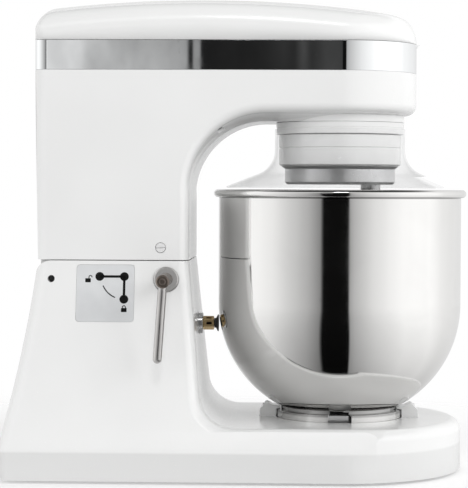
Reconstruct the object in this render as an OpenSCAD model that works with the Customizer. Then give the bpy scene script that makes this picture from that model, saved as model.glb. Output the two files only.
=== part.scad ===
// Table-top planetary mixer with a tilting head, a twist-lock bowl and a clamp lever.
// +X is the bowl side, -Y the side with the clamp lever, +Z up; the feet stand on Z = 0.

/* [Base] */
// Length of the base foot, rear edge to the centre of the bowl
foot_rear = 297.4; // [290:0.1:310]
// Half width of the base foot
foot_half = 119.5; // [112:0.1:125]
// Reach of the base nose in front of the bowl axis
nose_reach = 110.6; // [104:0.1:116]
// Height of the bowl plate's top face
plate_top = 47; // [42:0.1:52]
// Height of the seam between base and head
seam_z = 190.4; // [184:0.1:200]
// Height of the crease where the foot starts to flare
crease_z = 27; // [22:0.1:32]
// Radius of the outer edges of both castings
edge_r = 10; // [6:0.1:12]
// Radius of the hollow between column front and bowl plate
hollow_r = 30; // [20:0.1:40]
// Wall thickness of the castings
wall = 6; // [4:0.1:8]
// Height of the rubber feet
foot_h = 3; // [2:0.1:5]
// Radius of the rubber feet
foot_r = 11; // [8:0.1:14]

/* [Head] */
// Half width of the head
head_half = 69; // [64:0.1:74]
// Distance from the bowl axis back to the rear face of the head
head_rear = 270.9; // [266:0.1:275]
// Gap between the bowl's wall and the front face of the column
column_gap = 23.7; // [20:0.1:25]
// Height of the arm's underside
arm_z = 314.5; // [306:0.1:322]
// Radius of the arch between column and arm
arch_r = 67; // [55:0.1:80]
// Height of the bright band's lower edge
band_z = 358.5; // [352:0.1:362]
// Width of the bright band
band_h = 26.5; // [20:0.1:32]
// Thickness of the bright band
band_t = 1.2; // [0.8:0.1:2]
// Height of the crown of the top cover
crown_z = 425; // [418:0.1:432]
// Radius of the crown along the head
crown_r = 1150; // [900:1:1500]
// Radius of the crown across the head
crown_cross_r = 240; // [200:1:400]
// Radius of the cover's long side edges
cover_side_r = 20; // [14:0.1:24]
// Radius of the cover's nose
cover_nose_r = 30; // [24:0.1:34]
// Radius of the cover's rear edge
cover_rear_r = 15; // [10:0.1:18]
// Thickness of the top cover
cover_t = 3; // [2:0.1:4]
// Gap between the castings at the seam
seam_gap = 0.8; // [0.4:0.1:1.2]

/* [Hinge and clamp] */
// Distance from the bowl axis back to the hinge pin
hinge_back = 255; // [250:0.1:260]
// Height of the hinge pin
hinge_z = 174.4; // [170:0.1:178]
// Radius of the hinge pin
hinge_r = 5; // [4:0.1:6]
// Distance from the hinge pin forward to the clamp shaft
clamp_reach = 101.6; // [96:0.1:102]
// Radius of the clamp shaft
clamp_r = 4; // [3:0.1:5]
// Radius of the clamp lever's hub
hub_r = 5.8; // [5:0.1:7]
// Radius of the clamp lever's rod
rod_r = 3.5; // [2.5:0.1:4.5]
// Length of the clamp lever's rod
rod_len = 70; // [50:0.1:90]
// Angle that the head tilts back
tilt_max = 40; // [30:1:45]
// Radial running clearance of shafts
run_fit = 0.05; // [0.02:0.01:0.09]

/* [Bowl] */
// Outer radius of the bowl wall
bowl_r = 110.2; // [104:0.1:112]
// Height of the bowl's rim
rim_z = 253.3; // [248:0.1:255]
// Radius of the rolled rim's bead
bead_r = 2.9; // [2:0.1:3.5]
// Thickness of the bowl's steel
bowl_t = 1.2; // [0.8:0.1:2]
// Radius of the bowl's rounded lower wall
bowl_round_r = 105; // [96:0.1:105]
// Height at which the rounded lower wall starts
bowl_round_z = 150; // [145:0.1:160]
// How far the bowl's foot ring stands out past its flat bottom
ring_lip = 3.2; // [2:0.1:5]
// Height of the bowl's foot ring
ring_h = 9.5; // [8:0.1:11]
// Depth of the seat in the bowl plate
seat_depth = 2.6; // [1.5:0.1:3.5]
// Half width of the bayonet claws
claw_half = 9; // [6:0.1:12]

/* [Planetary drive] */
// Radius of the fixed collar under the arm
collar_r = 57.6; // [56:0.1:60]
// Height of the fixed collar
collar_h = 10.8; // [9:0.1:14]
// Radius of the rotating drum
drum_r = 55.6; // [53:0.1:56]
// Height of the rotating drum
drum_h = 27.7; // [24:0.1:30]
// Radius of the drum's lower part
lower_drum_r = 50; // [46:0.1:52]
// Height of the drum's lower part
lower_drum_h = 17; // [12:0.1:19]
// Gear module
gear_m = 1.75; // [1.5:0.05:1.8]
// Teeth of the planet pinion
pinion_teeth = 16; // [16:1:18]
// Teeth of the fixed ring gear
ring_teeth = 48; // [46:1:48]
// Width of the gears
gear_w = 7; // [5:0.1:8]
// Play between meshing teeth
backlash = 0.35; // [0.25:0.01:0.5]
// Radius of the main shaft
main_r = 8; // [6:0.1:9]
// Radius of the agitator shaft
agitator_r = 6; // [5:0.1:7]
// Outer radius of the large pulley
big_pulley_r = 48; // [40:0.1:52]
// Outer radius of the small pulley
small_pulley_r = 12; // [10:0.1:16]
// Width of the ribbed belt
belt_w = 12; // [8:0.1:14]
// Thickness of the ribbed belt
belt_t = 2.5; // [2:0.1:3.5]
// Distance from the bowl axis back to the motor
motor_back = 203; // [200:0.1:205]
// Radius of the motor's can
motor_r = 38; // [32:0.1:40]
// Length of the motor's can
motor_len = 104; // [80:0.1:108]

/* [Beater] */
// Largest half width of the flat beater
beater_half = 62; // [48:0.1:64]
// Height of the beater's frame
beater_h = 122; // [100:0.1:124]
// Width of the beater's bars
bar_w = 8; // [6:0.1:10]
// Thickness of the beater
beater_t = 8; // [6:0.1:10]
// Gap between the beater's tip and the bowl's bottom
beater_gap = 7; // [5:0.1:12]

/* [Splash guard] */
// Radius of the guard's lower edge
guard_r = 104; // [98:0.1:105]
// Thickness of the guard
guard_t = 1.3; // [1:0.1:1.6]
// Height of the guard's lower edge
guard_z = 255.2; // [254:0.1:258]

/* [Controls] */
// Width of the control panel
panel_w = 90; // [80:0.1:96]
// Height of the control panel
panel_h = 62; // [54:0.1:66]
// Radius of the speed knob
knob_r = 17; // [14:0.1:19]
// Height of the speed knob
knob_h = 16; // [12:0.1:20]
// Radius of the push buttons
button_r = 8; // [6:0.1:9]
// Travel of the push buttons
button_travel = 2; // [1:0.1:3]
// Side length of the label plate
label_w = 51; // [44:0.1:54]

/* [Hidden] */
$fn = 96;
touch = 0.3;                            // free gap between pieces of different bodies
bowl_x = foot_rear - 206;               // bowl axis
rear_x = -206;                          // rear edge of the foot
head_rear_x = bowl_x - head_rear;
front_x = bowl_x - bowl_r - column_gap;
nose_x = bowl_x + nose_reach;
hinge_x = bowl_x - hinge_back;
clamp_x = hinge_x + clamp_reach;
motor_x = bowl_x - motor_back;
housing_z = seam_z + seam_gap;
band_top = band_z + band_h;
base_z = foot_h - 0.5;                  // underside of the base casting
hinge_arc_r = seam_z - hinge_z;         // rounding of the base behind the hinge
seat_z = plate_top - seat_depth;
bowl_round_x = bowl_r - bowl_round_r;
bowl_floor_z = seat_z + ring_h + 3;
ring_r = bowl_round_x + sqrt(pow(bowl_round_r, 2) - pow(bowl_round_z - bowl_floor_z, 2)) + ring_lip;
collar_z = arm_z - collar_h;
drum_top = collar_z - 0.5;
drum_z = drum_top - drum_h;
lower_drum_z = drum_z - lower_drum_h;
pinion_r = gear_m * pinion_teeth / 2;
ring_pitch_r = gear_m * ring_teeth / 2;
offset_r = ring_pitch_r - pinion_r;     // bowl axis to agitator axis
gear_z = collar_z + 1;
belt_z = arm_z + wall + 27;             // middle plane of the belt
beater_top = bowl_floor_z + bowl_t + beater_gap + beater_h;
ring_out_r = ring_pitch_r + 2.6 * gear_m + 3.5;
pulley_half = belt_w / 2 + 2.2;         // half height of a pulley with its rims
ledge_z = belt_z - 21.5;                // seat of the motor bracket
motor_bottom = ledge_z - motor_len;
motor_shaft_r = 4;
rib_pitch = 3;                          // pitch of the belt's ribs
ribs = floor(belt_w / rib_pitch);
bearing_r = 17;
bearing_h = 8;
lower_bearing_z = gear_z + gear_w + 2;
rear_round_z = 17;                      // middle of the cover's rear rounding above the band
neck_r = 30;                            // spigot of the gearbox neck in the arm's floor
neck_top = belt_z - belt_w / 2 - 4;
neck_screw_at = (ring_out_r + collar_r) / 2;
tool_top = lower_drum_z - 12;           // top of the tool's stem
tool_pin_z = tool_top - 10;
tool_pin_r = 2;
shaft_end = tool_top - 30;
beater_z = beater_top - beater_h;
quadrant_t = 5;
quadrant_y = [-51.5, -51.5 + quadrant_t];
side_screw_x = clamp_x - 5.3;
side_screw_z = hinge_z + 27.6;
side_screw_r = 2.5;
arch_screw_a = 124;                     // place of the arch screws on the arch, in degrees
lug_y = 46;                             // middle plane of the head's hinge lugs
lug_r = 12;
bush_r = 8;                             // outer radius of the bushes of hinge and clamp
flange_y = -side_y(hinge_z) - 2;        // outer face of the clamp's flanged bush
rod_y = -foot_half + rod_r + 3;
label_x = clamp_x - 53.5;
label_z = seam_z - 3 - label_w / 2;
panel_x = clamp_x - 38;
panel_z = seam_z - 12 - panel_h / 2;
stop_z = 131.3;
stop_x = front_x + 4.1;                 // spot face of the bowl stop
foot_screw_r = 2.5;
plate_r = min(foot_half - 24, nose_reach - 12); // round front end of the bottom plate
screw_r = plate_r - 13.5;               // front foot screws, from the bowl axis
screw_spots = [for (s = [-1, 1], p = [[rear_x + 34, foot_half - 41], [bowl_x + screw_r * cos(54.2), screw_r * sin(54.2)]]) [p[0], s * p[1]]];
claw_screw_r = 2;
knob_at = [-panel_w / 2 + 32, 0];       // places of the controls on their panel
start_at = [panel_w / 2 - 22, -12];
stop_at = [panel_w / 2 - 22, 12];
panel_face = 0.5;                       // front face of the panel above the casting
board_z = 17;
board_half = [42, 30];
board_x = motor_x + 5;
gland_at = [62, 60];                    // place of the cord gland on the rear, Y and Z
gland_r = 9;

// ---- outlines and shared shapes -------------------------------------------------

// Points of an arc, angles in degrees.
function arc(c, r, a0, a1, n) = [for (i = [0:n]) let (a = a0 + (a1 - a0) * i / n) c + r * [cos(a), sin(a)]];

// Share of the flare that is reached at height z: 0 at the seam, 1 at the crease.
function flare(z) = let (t = (seam_z - z) / (seam_z - crease_z)) 0.65 * t + 0.35 * t * abs(t);

// Half width of the base and its rear edge at height z, and the flare's slope in degrees.
function side_y(z) = head_half + (foot_half - head_half) * flare(z);
function rear_at(z) = head_rear_x + 2.5 + (rear_x - head_rear_x - 2.5) * flare(z);
function side_slope(z) = atan((side_y(z - 1) - side_y(z + 1)) / 2);

// A hole or pin along Y, from y0 to y1.
module along_y(x, z, r, y0, y1) { translate([x, y1, z]) rotate([90, 0, 0]) cylinder(r = r, h = y1 - y0); }

// A prism of a side view outline drawn in X and Z, from y0 to y1.
module side_prism(y0, y1) { translate([0, y1, 0]) rotate([90, 0, 0]) linear_extrude(y1 - y0) children(); }

// Rounded rectangle centred on the origin.
module rounded(w, h, r) {
    square([w - 2 * r, h], center = true);
    square([w, h - 2 * r], center = true);
    for (x = [-1, 1], y = [-1, 1]) translate([x * (w / 2 - r), y * (h / 2 - r)]) circle(r);
}

// What an outside edge loses to a rounding of radius r, corner of the edge at the origin.
module edge_waste(r) {
    difference() {
        translate([-1, -1]) square(r + 1);
        translate([r, r]) circle(r);
    }
}

// Places children on the flared +Y side at height z, local z outwards and local y down.
module on_far_side(x, z) { translate([x, side_y(z), z]) rotate([side_slope(z) - 90, 0, 0]) children(); }

// The same on the -Y side, local z outwards and local y up.
module on_near_side(x, z) { translate([x, -side_y(z), z]) rotate([90 - side_slope(z), 0, 0]) children(); }

// ---- base -----------------------------------------------------------------------

// Outlines of the base without its edge radius; rounding adds the radius again.
module base_side_core() {
    levels = [for (i = [0:8]) crease_z + (seam_z + 20 - crease_z) * i / 8];
    fillet_c = [front_x + 11 + hollow_r, plate_top + hollow_r];
    polygon(concat(
        [[rear_x + edge_r, base_z + edge_r]],
        [for (z = levels) [rear_at(z) + edge_r, z]],
        [[front_x - 2.5 - edge_r, seam_z + 20]],
        arc(fillet_c, hollow_r + edge_r, 187, 270, 9),
        [[nose_x, plate_top - edge_r], [nose_x, base_z + edge_r]]
    ));
}

module base_front_core() {
    levels = [for (i = [0:8]) crease_z + (seam_z + 20 - crease_z) * i / 8];
    half = concat([[foot_half - edge_r, base_z + edge_r]], [for (z = levels) [side_y(z) - edge_r, z]]);
    polygon(concat(half, [for (i = [len(half) - 1:-1:0]) [-half[i][0], half[i][1]]]));
}

module foot_outline(inset) {
    polygon(concat(
        [[rear_x + inset, -foot_half + inset]],
        [for (a = [-90:6:90]) [bowl_x + (nose_reach - inset) * cos(a), (foot_half - inset) * sin(a)]],
        [[rear_x + inset, foot_half - inset]]
    ));
}

module base_form() {
    minkowski() {
        intersection() {
            side_prism(-foot_half, foot_half) base_side_core();
            translate([rear_x, 0, 0]) rotate([90, 0, 90]) linear_extrude(foot_rear + nose_reach) base_front_core();
            linear_extrude(seam_z + 30) foot_outline(edge_r);
        }
        sphere(r = edge_r, $fn = 24);
    }
}

// Hollow of the column and of the foot, open at the bottom, with ribs left under the bowl.
module base_hollow() {
    column_half = side_y(hinge_z) - 12;
    foot_in = foot_half - 28;
    intersection() {
        side_prism(-foot_in, foot_in) polygon([
            [rear_x + 20, base_z], [hinge_x - 8, seam_z - wall], [front_x - wall - 2, seam_z - wall], [front_x + 2, base_z]
        ]);
        translate([rear_x, 0, 0]) rotate([90, 0, 90]) linear_extrude(foot_rear) polygon([
            [-foot_in, base_z], [-column_half, seam_z - wall], [column_half, seam_z - wall], [foot_in, base_z]
        ]);
    }
    difference() {
        translate([0, 0, base_z]) linear_extrude(seat_z - 5 - base_z) intersection() {
            translate([front_x - 10, -foot_in]) square([nose_x - front_x - 8, 2 * foot_in]);
            union() {
                translate([bowl_x, 0]) circle(nose_reach - 15);
                translate([front_x - 10, -foot_in]) square([bowl_x - front_x + 10, 2 * foot_in]);
            }
        }
        for (x = [bowl_x - 62, bowl_x + 40]) translate([x, -foot_half, base_z + 6]) cube([5, 2 * foot_half, 50]);
        for (y = [-40, 35]) translate([front_x, y, base_z + 6]) cube([foot_rear, 5, 50]);
    }
}

module plate_outline(inset) {
    half = foot_half - 24 - inset;
    translate([rear_x + 16 + inset, -half]) square([bowl_x - rear_x - 16 - inset, 2 * half]);
    translate([bowl_x, 0]) circle(plate_r - inset);
}

module base_casting() color("whitesmoke") difference() {
    union() {
        difference() {
            base_form();
            translate([-300, -200, seam_z]) cube([600, 400, 100]);
            difference() {
                translate([hinge_x - 60, -200, hinge_z]) cube([60, 400, 60]);
                along_y(hinge_x, hinge_z, hinge_arc_r, -201, 201);
            }
            base_hollow();
        }
        for (p = screw_spots) translate([p[0], p[1], base_z + 2.5]) cylinder(r = 8, h = p[0] < 0 ? 60 : seat_z - base_z - 6);
    }
    // pocket of the bottom plate and its screw holes
    translate([0, 0, base_z - 1]) linear_extrude(3.5) plate_outline(0);
    for (p = screw_spots) translate([p[0], p[1], base_z]) cylinder(r = foot_screw_r + run_fit, h = 22);
    // seat of the bowl and its claws
    translate([bowl_x, 0, seat_z]) cylinder(r = ring_r + 0.8, h = 20);
    for (s = [-1, 1]) translate([bowl_x + s * (ring_r + 7.5), 0, seat_z + 5]) cube([15.4, 2 * claw_half + 0.4, 10], center = true);
    for (s = [-1, 1]) translate([bowl_x + s * (ring_r + 9), 0, seat_z - 12]) cylinder(r = claw_screw_r + run_fit, h = 20);
    // hinge: bores of the pin, open slots of the head's two lugs
    along_y(hinge_x, hinge_z, hinge_r, -head_half + 4, 200);
    along_y(hinge_x, hinge_z, 3.15, -200, 0);
    for (s = [-1, 1]) translate([hinge_x - 30, s * lug_y - 8.5, hinge_z - 16]) cube([43.5, 17, 60]);
    // clamp: bore of the bush, its spot face, slot of the quadrant in the deck
    along_y(clamp_x, hinge_z, bush_r, -200, -head_half + 20);
    along_y(clamp_x, hinge_z, 11.5, -200, -side_y(hinge_z) + 1);
    translate([clamp_x - 22, -53.5, seam_z - 20]) cube([36, 9, 40]);
    // recess of the label plate
    on_near_side(label_x, label_z) translate([0, 0, -0.8]) linear_extrude(12) rounded(label_w + 0.3, label_w + 0.3, 3);
    // recess and window of the control panel
    on_far_side(panel_x, panel_z) {
        translate([0, 0, -1.5]) linear_extrude(14) rounded(panel_w + 0.4, panel_h + 0.4, 6);
        translate([0, 0, -60]) linear_extrude(70) rounded(panel_w - 14, panel_h - 14, 4);
    }
    // bore of the bowl stop and of the cord gland
    translate([front_x - 30, 0, stop_z]) rotate([0, 90, 0]) cylinder(r = 5 + run_fit, h = 60);
    translate([stop_x, 0, stop_z]) rotate([0, 90, 0]) cylinder(r = 10.5, h = 30);
    translate([rear_x - 5, gland_at[0], gland_at[1]]) rotate([0, 90, 0]) cylinder(r = gland_r, h = 60);
    translate([rear_x - 20, gland_at[0], gland_at[1]]) rotate([0, 90, 0]) cylinder(r = 13.5, h = rear_at(gland_at[1]) - rear_x + 22.5);
    // blind hole for the interlock switch's plunger
    translate([clamp_x - 70, 20, seam_z - 12]) cylinder(r = 3.4, h = 20);
}

module bottom_plate() color("gainsboro") difference() {
    translate([0, 0, foot_h]) linear_extrude(2) difference() {
        plate_outline(0.4);
        for (p = screw_spots) translate(p) circle(foot_screw_r + run_fit);
        for (i = [-3:3]) translate([board_x + 9 * i, 0]) rounded(4, 40, 1.9);
        for (i = [-3:3]) translate([bowl_x + 9 * i, 0]) rounded(4, 40, 1.9);
    }
}

module rubber_feet() color("dimgray") for (p = screw_spots) translate(p) difference() {
    cylinder(r1 = foot_r - 1, r2 = foot_r, h = foot_h);
    translate([0, 0, -1]) cylinder(r = 4.6, h = 2.6);
    cylinder(r = foot_screw_r + run_fit, h = foot_h + 1);
}

module foot_screws() color("silver") for (p = screw_spots) translate(p) {
    translate([0, 0, 0.4]) cylinder(r = 4.2, h = 1.2);
    translate([0, 0, 1.5]) cylinder(r = foot_screw_r, h = 21);
}

// Places a right-hand and a left-hand copy of a claw part at the bowl's foot.
module at_claws() { for (a = [0, 180]) translate([bowl_x, 0, seat_z]) rotate([0, 0, a]) children(); }

module bowl_claws() color("whitesmoke") at_claws() difference() {
    side_prism(-claw_half, claw_half) polygon([
        [ring_r + touch, 0], [ring_r + 15, 0], [ring_r + 15, 9], [ring_r + 9, ring_h + 6.4],
        [ring_r + 3, ring_h + 3.4], [ring_r - 4, ring_h + 2.3], [ring_r - 4, ring_h + touch], [ring_r + touch, ring_h + touch]
    ]);
    translate([ring_r + 9, 0, -1]) cylinder(r = claw_screw_r + run_fit, h = 20);
    translate([ring_r + 9, 0, 11]) cylinder(r = 3.7, h = 20);
}

module claw_screws() color("silver") at_claws() translate([ring_r + 9, 0, 0]) {
    translate([0, 0, -8]) cylinder(r = claw_screw_r, h = 19.5);
    difference() {
        translate([0, 0, 11]) cylinder(r = 3.5, h = 3);
        translate([0, 0, 12.5]) cylinder(r = 1.7, h = 3, $fn = 6);
    }
}

module hinge_pin() color("silver") along_y(hinge_x, hinge_z, hinge_r - run_fit, -head_half + 4.2, side_y(hinge_z) - 0.6);

module lock_bush() color("silver") difference() {
    union() {
        along_y(clamp_x, hinge_z, 11, flange_y, flange_y + 3);
        along_y(clamp_x, hinge_z, bush_r - run_fit, flange_y + 2.9, flange_y + 16);
    }
    along_y(clamp_x, hinge_z, clamp_r + run_fit, -100, 0);
}

module label_plate() color("lightgray") on_near_side(label_x, label_z)
    translate([0, 0, -0.8]) linear_extrude(1.1) rounded(label_w, label_w, 3);

// The adjustable stop that steadies the bowl against the column, axis along +X.
module on_stop(x) { translate([stop_x + x, 0, stop_z]) rotate([0, 90, 0]) children(); }

module stop_flange() color("silver") on_stop(0) difference() {
    cylinder(r = 9.6, h = 5.6);
    translate([0, 0, -1]) cylinder(r = 5 + run_fit, h = 9);
}

module stop_body() color("goldenrod") difference() {
    union() {
        on_stop(-15) cylinder(r = 5, h = 20.7);
        on_stop(5.6) cylinder(r = 6.3, h = 9.9, $fn = 6);
    }
    for (a = [0, 60]) translate([stop_x + 11, 0, stop_z]) rotate([a, 0, 0]) cube([5, 20, 2.4], center = true);
    on_stop(-20) cylinder(r = 2.5 + run_fit, h = 50);
}

module stop_screw() color("dimgray") on_stop(-14) cylinder(r = 2.5, h = 31.3);

module stop_pad() color("black") on_stop(15.8) difference() {
    union() {
        cylinder(r = 4.5, h = 1.6);
        translate([0, 0, 1.5]) cylinder(r1 = 4.5, r2 = 7.8, h = 2.4);
    }
    translate([0, 0, -1]) cylinder(r = 2.5 + run_fit, h = 2.5);
}

// ---- controls -------------------------------------------------------------------

module control_panel() color("darkgray") on_far_side(panel_x, panel_z) difference() {
    translate([0, 0, -1.5]) linear_extrude(panel_face + 1.5) rounded(panel_w, panel_h, 6);
    translate([knob_at[0], knob_at[1], -5]) cylinder(r = 3 + run_fit, h = 10);
    for (p = [start_at, stop_at]) translate([p[0], p[1], -5]) cylinder(r = button_r + 0.4, h = 10);
}

module speed_potentiometer() color("dimgray") on_far_side(panel_x, panel_z) translate([knob_at[0], knob_at[1], 0]) difference() {
    union() {
        translate([0, 0, -13]) cylinder(r = 12, h = 11.5);
        translate([0, 0, -1.6]) cylinder(r = 3, h = panel_face + 1.6);
    }
    translate([0, 0, -10]) cylinder(r = 2 + run_fit, h = 20);
}

module speed_knob() color("black") on_far_side(panel_x, panel_z) translate([knob_at[0], knob_at[1], 0]) {
    difference() {
        union() {
            translate([0, 0, panel_face + touch]) cylinder(r = knob_r, h = 3);
            translate([0, 0, panel_face + touch + 2.9]) cylinder(r1 = knob_r - 2.5, r2 = knob_r - 4, h = knob_h - 3);
        }
        for (i = [0:17]) rotate([0, 0, 20 * i + 10]) translate([knob_r - 2, 0, 4.5]) cylinder(r = 1.2, h = knob_h);
        translate([0, -knob_r + 7, knob_h - 0.5]) cube([1.6, 7, 4], center = true);
    }
    translate([0, 0, -9]) cylinder(r = 2, h = 10.5);
}

// A domed push button whose stem reaches its switch.
module push_button(p) {
    on_far_side(panel_x, panel_z) translate([p[0], p[1], 0]) {
        translate([0, 0, -3]) cylinder(r = button_r, h = panel_face + 3 + button_travel + 1);
        translate([0, 0, panel_face + button_travel + 1]) intersection() {
            cylinder(r = button_r, h = 3);
            translate([0, 0, -22.6]) sphere(r = 24);
        }
        translate([0, 0, -8]) cylinder(r = 2, h = 6);
    }
}

module start_button() color("green") push_button(start_at);

module stop_button() color("red") push_button(stop_at);

module button_switches() color("dimgray") on_far_side(panel_x, panel_z) for (p = [start_at, stop_at]) translate([p[0], p[1], 0]) difference() {
    union() {
        translate([-6, -6, -24]) cube([12, 12, 14]);
        for (s = [-1, 1]) translate([s * (button_r + 3) - 1.5, -5, -24]) cube([3, 10, 22.5]);
        translate([-button_r - 4, -5, -24]) cube([2 * button_r + 8, 10, 3]);
    }
    translate([0, 0, -20]) cylinder(r = 2.4, h = 30);
}

module control_board() color("darkgreen") translate([board_x, 0, board_z]) {
    translate([-board_half[0], -board_half[1], 0]) cube([2 * board_half[0], 2 * board_half[1], 1.6]);
    for (i = [0:4]) translate([-34 + 15 * i, -22, 1.5]) cube([9, 12, 7]);
    for (i = [0:2]) translate([-28 + 22 * i, 8, 1.5]) cylinder(r = 6, h = 18);
    translate([28, -6, 1.5]) cube([4, 30, 22]);
}

module board_posts() color("silver")
    for (x = [-1, 1], y = [-1, 1]) translate([board_x + x * (board_half[0] - 4), y * (board_half[1] - 4), foot_h + 2])
        cylinder(r = 3, h = board_z - foot_h - 2);

module interlock_switch() color("black") translate([clamp_x - 70, 20, 0]) {
    translate([-10, -4, seam_z - wall - 12]) cube([20, 8, 12]);
    translate([0, 0, seam_z - wall - 1]) cylinder(r = 3, h = wall + 1.3);
}

module cord_gland() color("black") translate([rear_at(gland_at[1]) + 2.5, gland_at[0], gland_at[1]]) rotate([0, 90, 0]) difference() {
    union() {
        translate([0, 0, -3.2]) cylinder(r = 13, h = 3.2);
        translate([0, 0, -0.1]) cylinder(r = gland_r - run_fit, h = 20);
    }
    translate([0, 0, -5]) cylinder(r = 3.6, h = 40);
}

// ---- head -----------------------------------------------------------------------

module head_outline(inset) {
    rc = edge_r - min(inset, edge_r - 3);
    half = head_half - inset;
    x0 = head_rear_x + inset;
    translate([x0 + rc, -half]) square([bowl_x - x0 - rc, 2 * half]);
    translate([x0, -half + rc]) square([rc + 1, 2 * (half - rc)]);
    for (s = [-1, 1]) translate([x0 + rc, s * (half - rc)]) circle(rc);
    translate([bowl_x, 0]) circle(half);
}

// Side view of the C-shaped housing: column, arch and arm, grown inwards by inset.
module housing_side(inset, top) {
    c = [front_x + arch_r, arm_z - arch_r];
    difference() {
        polygon([
            [head_rear_x + inset + 3.5, housing_z + inset], [head_rear_x + inset, band_z], [head_rear_x + inset, top],
            [bowl_x + head_half, top], [bowl_x + head_half, housing_z + inset]
        ]);
        translate(c) circle(arch_r + inset, $fn = 192);
        translate([front_x - inset, 0]) square([400, c[1]]);
        translate([c[0], 0]) square([400, arm_z + inset]);
    }
}

// What the rounded lower edges of column, arch, arm and nose take away on the +Y side.
module edge_cut() {
    c = [front_x + arch_r, arm_z - arch_r];
    translate([front_x, head_half, housing_z - 1]) linear_extrude(c[1] - housing_z + 1) rotate(180) edge_waste(edge_r);
    translate([c[0], 0, c[1]]) rotate([90, 0, 0]) rotate([0, 0, 90]) rotate_extrude(angle = 90)
        translate([arch_r, -head_half]) edge_waste(edge_r);
    translate([c[0], head_half, arm_z]) rotate([90, 0, 90]) linear_extrude(bowl_x - c[0]) mirror([1, 0]) edge_waste(edge_r);
}

// Round front end of the head, with its rounded lower edge.
module nose_form() {
    translate([bowl_x, 0, arm_z]) rotate([0, 0, -90]) rotate_extrude(angle = 180) difference() {
        square([head_half, band_top - arm_z]);
        translate([head_half, 0]) mirror([1, 0]) edge_waste(edge_r);
    }
}

// Places children at the two screws in the arch, local z along the screw into the arm.
module at_arch_screws() {
    c = [front_x + arch_r, arm_z - arch_r];
    for (s = [-1, 1]) translate([c[0] + arch_r * cos(arch_screw_a), s * (head_half - 13), c[1] + arch_r * sin(arch_screw_a)])
        rotate([0, 90 - arch_screw_a, 0]) children();
}

// Places children at the six screws that hold the gearbox neck, on the arm's floor.
module at_neck_screws() {
    for (a = [30:60:330]) translate([bowl_x, 0, arm_z + wall]) rotate([0, 0, a]) translate([neck_screw_at, 0, 0]) children();
}

module upper_housing() color("whitesmoke") difference() {
    union() {
        difference() {
            union() {
                difference() {
                    intersection() {
                        side_prism(-head_half, head_half) housing_side(0, band_top);
                        linear_extrude(band_top + 1) head_outline(0);
                        translate([-300, -100, 0]) cube([300 + bowl_x, 200, 500]);
                    }
                    for (s = [0, 1]) mirror([0, s, 0]) edge_cut();
                }
                nose_form();
            }
            difference() {
                intersection() {
                    side_prism(-head_half, head_half) housing_side(wall, band_top + 1);
                    linear_extrude(band_top + 1) head_outline(wall);
                }
                // ledges of the motor bracket, boss of the side screw, bosses of the arch screws
                for (s = [-1, 1]) translate([motor_x - 30, s * (head_half - 8) - 8, ledge_z - 10]) cube([60, 16, 10]);
                along_y(side_screw_x, side_screw_z, 8, -head_half, quadrant_y[0]);
                at_arch_screws() translate([0, 0, -2]) cylinder(r = 8, h = 16);
            }
        }
        for (s = [-1, 1]) {
            along_y(hinge_x, hinge_z, lug_r, s * lug_y - 6, s * lug_y + 6);
            translate([hinge_x - lug_r, s * lug_y - 6, hinge_z]) cube([2 * lug_r, 12, housing_z - hinge_z + wall / 2]);
        }
    }
    // recess of the bright band
    difference() {
        translate([-300, -200, band_z]) cube([600, 400, 100]);
        translate([0, 0, band_z - 1]) linear_extrude(102) head_outline(band_t + 0.05);
    }
    for (s = [-1, 1]) along_y(hinge_x, hinge_z, bush_r, s * lug_y - 7, s * lug_y + 7);
    // slot of the quadrant and hole of its screw
    translate([side_screw_x - 12, quadrant_y[0] - 0.1, housing_z - 1]) cube([28, quadrant_t + 0.2, wall + 2]);
    along_y(side_screw_x, side_screw_z, side_screw_r + run_fit, -head_half - 1, quadrant_y[1] + 1);
    along_y(side_screw_x, side_screw_z, 4.7, -head_half - 1, -head_half + 2.4);
    at_arch_screws() {
        translate([0, 0, -6]) cylinder(r = 1.7 + run_fit, h = 30);
        translate([0, 0, -6]) cylinder(r = 3.6, h = 10);
    }
    // seat of the gearbox neck in the arm's floor, cable hole in the column's floor
    translate([bowl_x, 0, arm_z - 1]) cylinder(r = neck_r + run_fit, h = wall + 2);
    at_neck_screws() translate([0, 0, -wall - 1]) cylinder(r = 2 + run_fit, h = wall + 2);
    translate([motor_x - 20, 20, housing_z - 1]) cylinder(r = 9, h = wall + 2);
}

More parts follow.
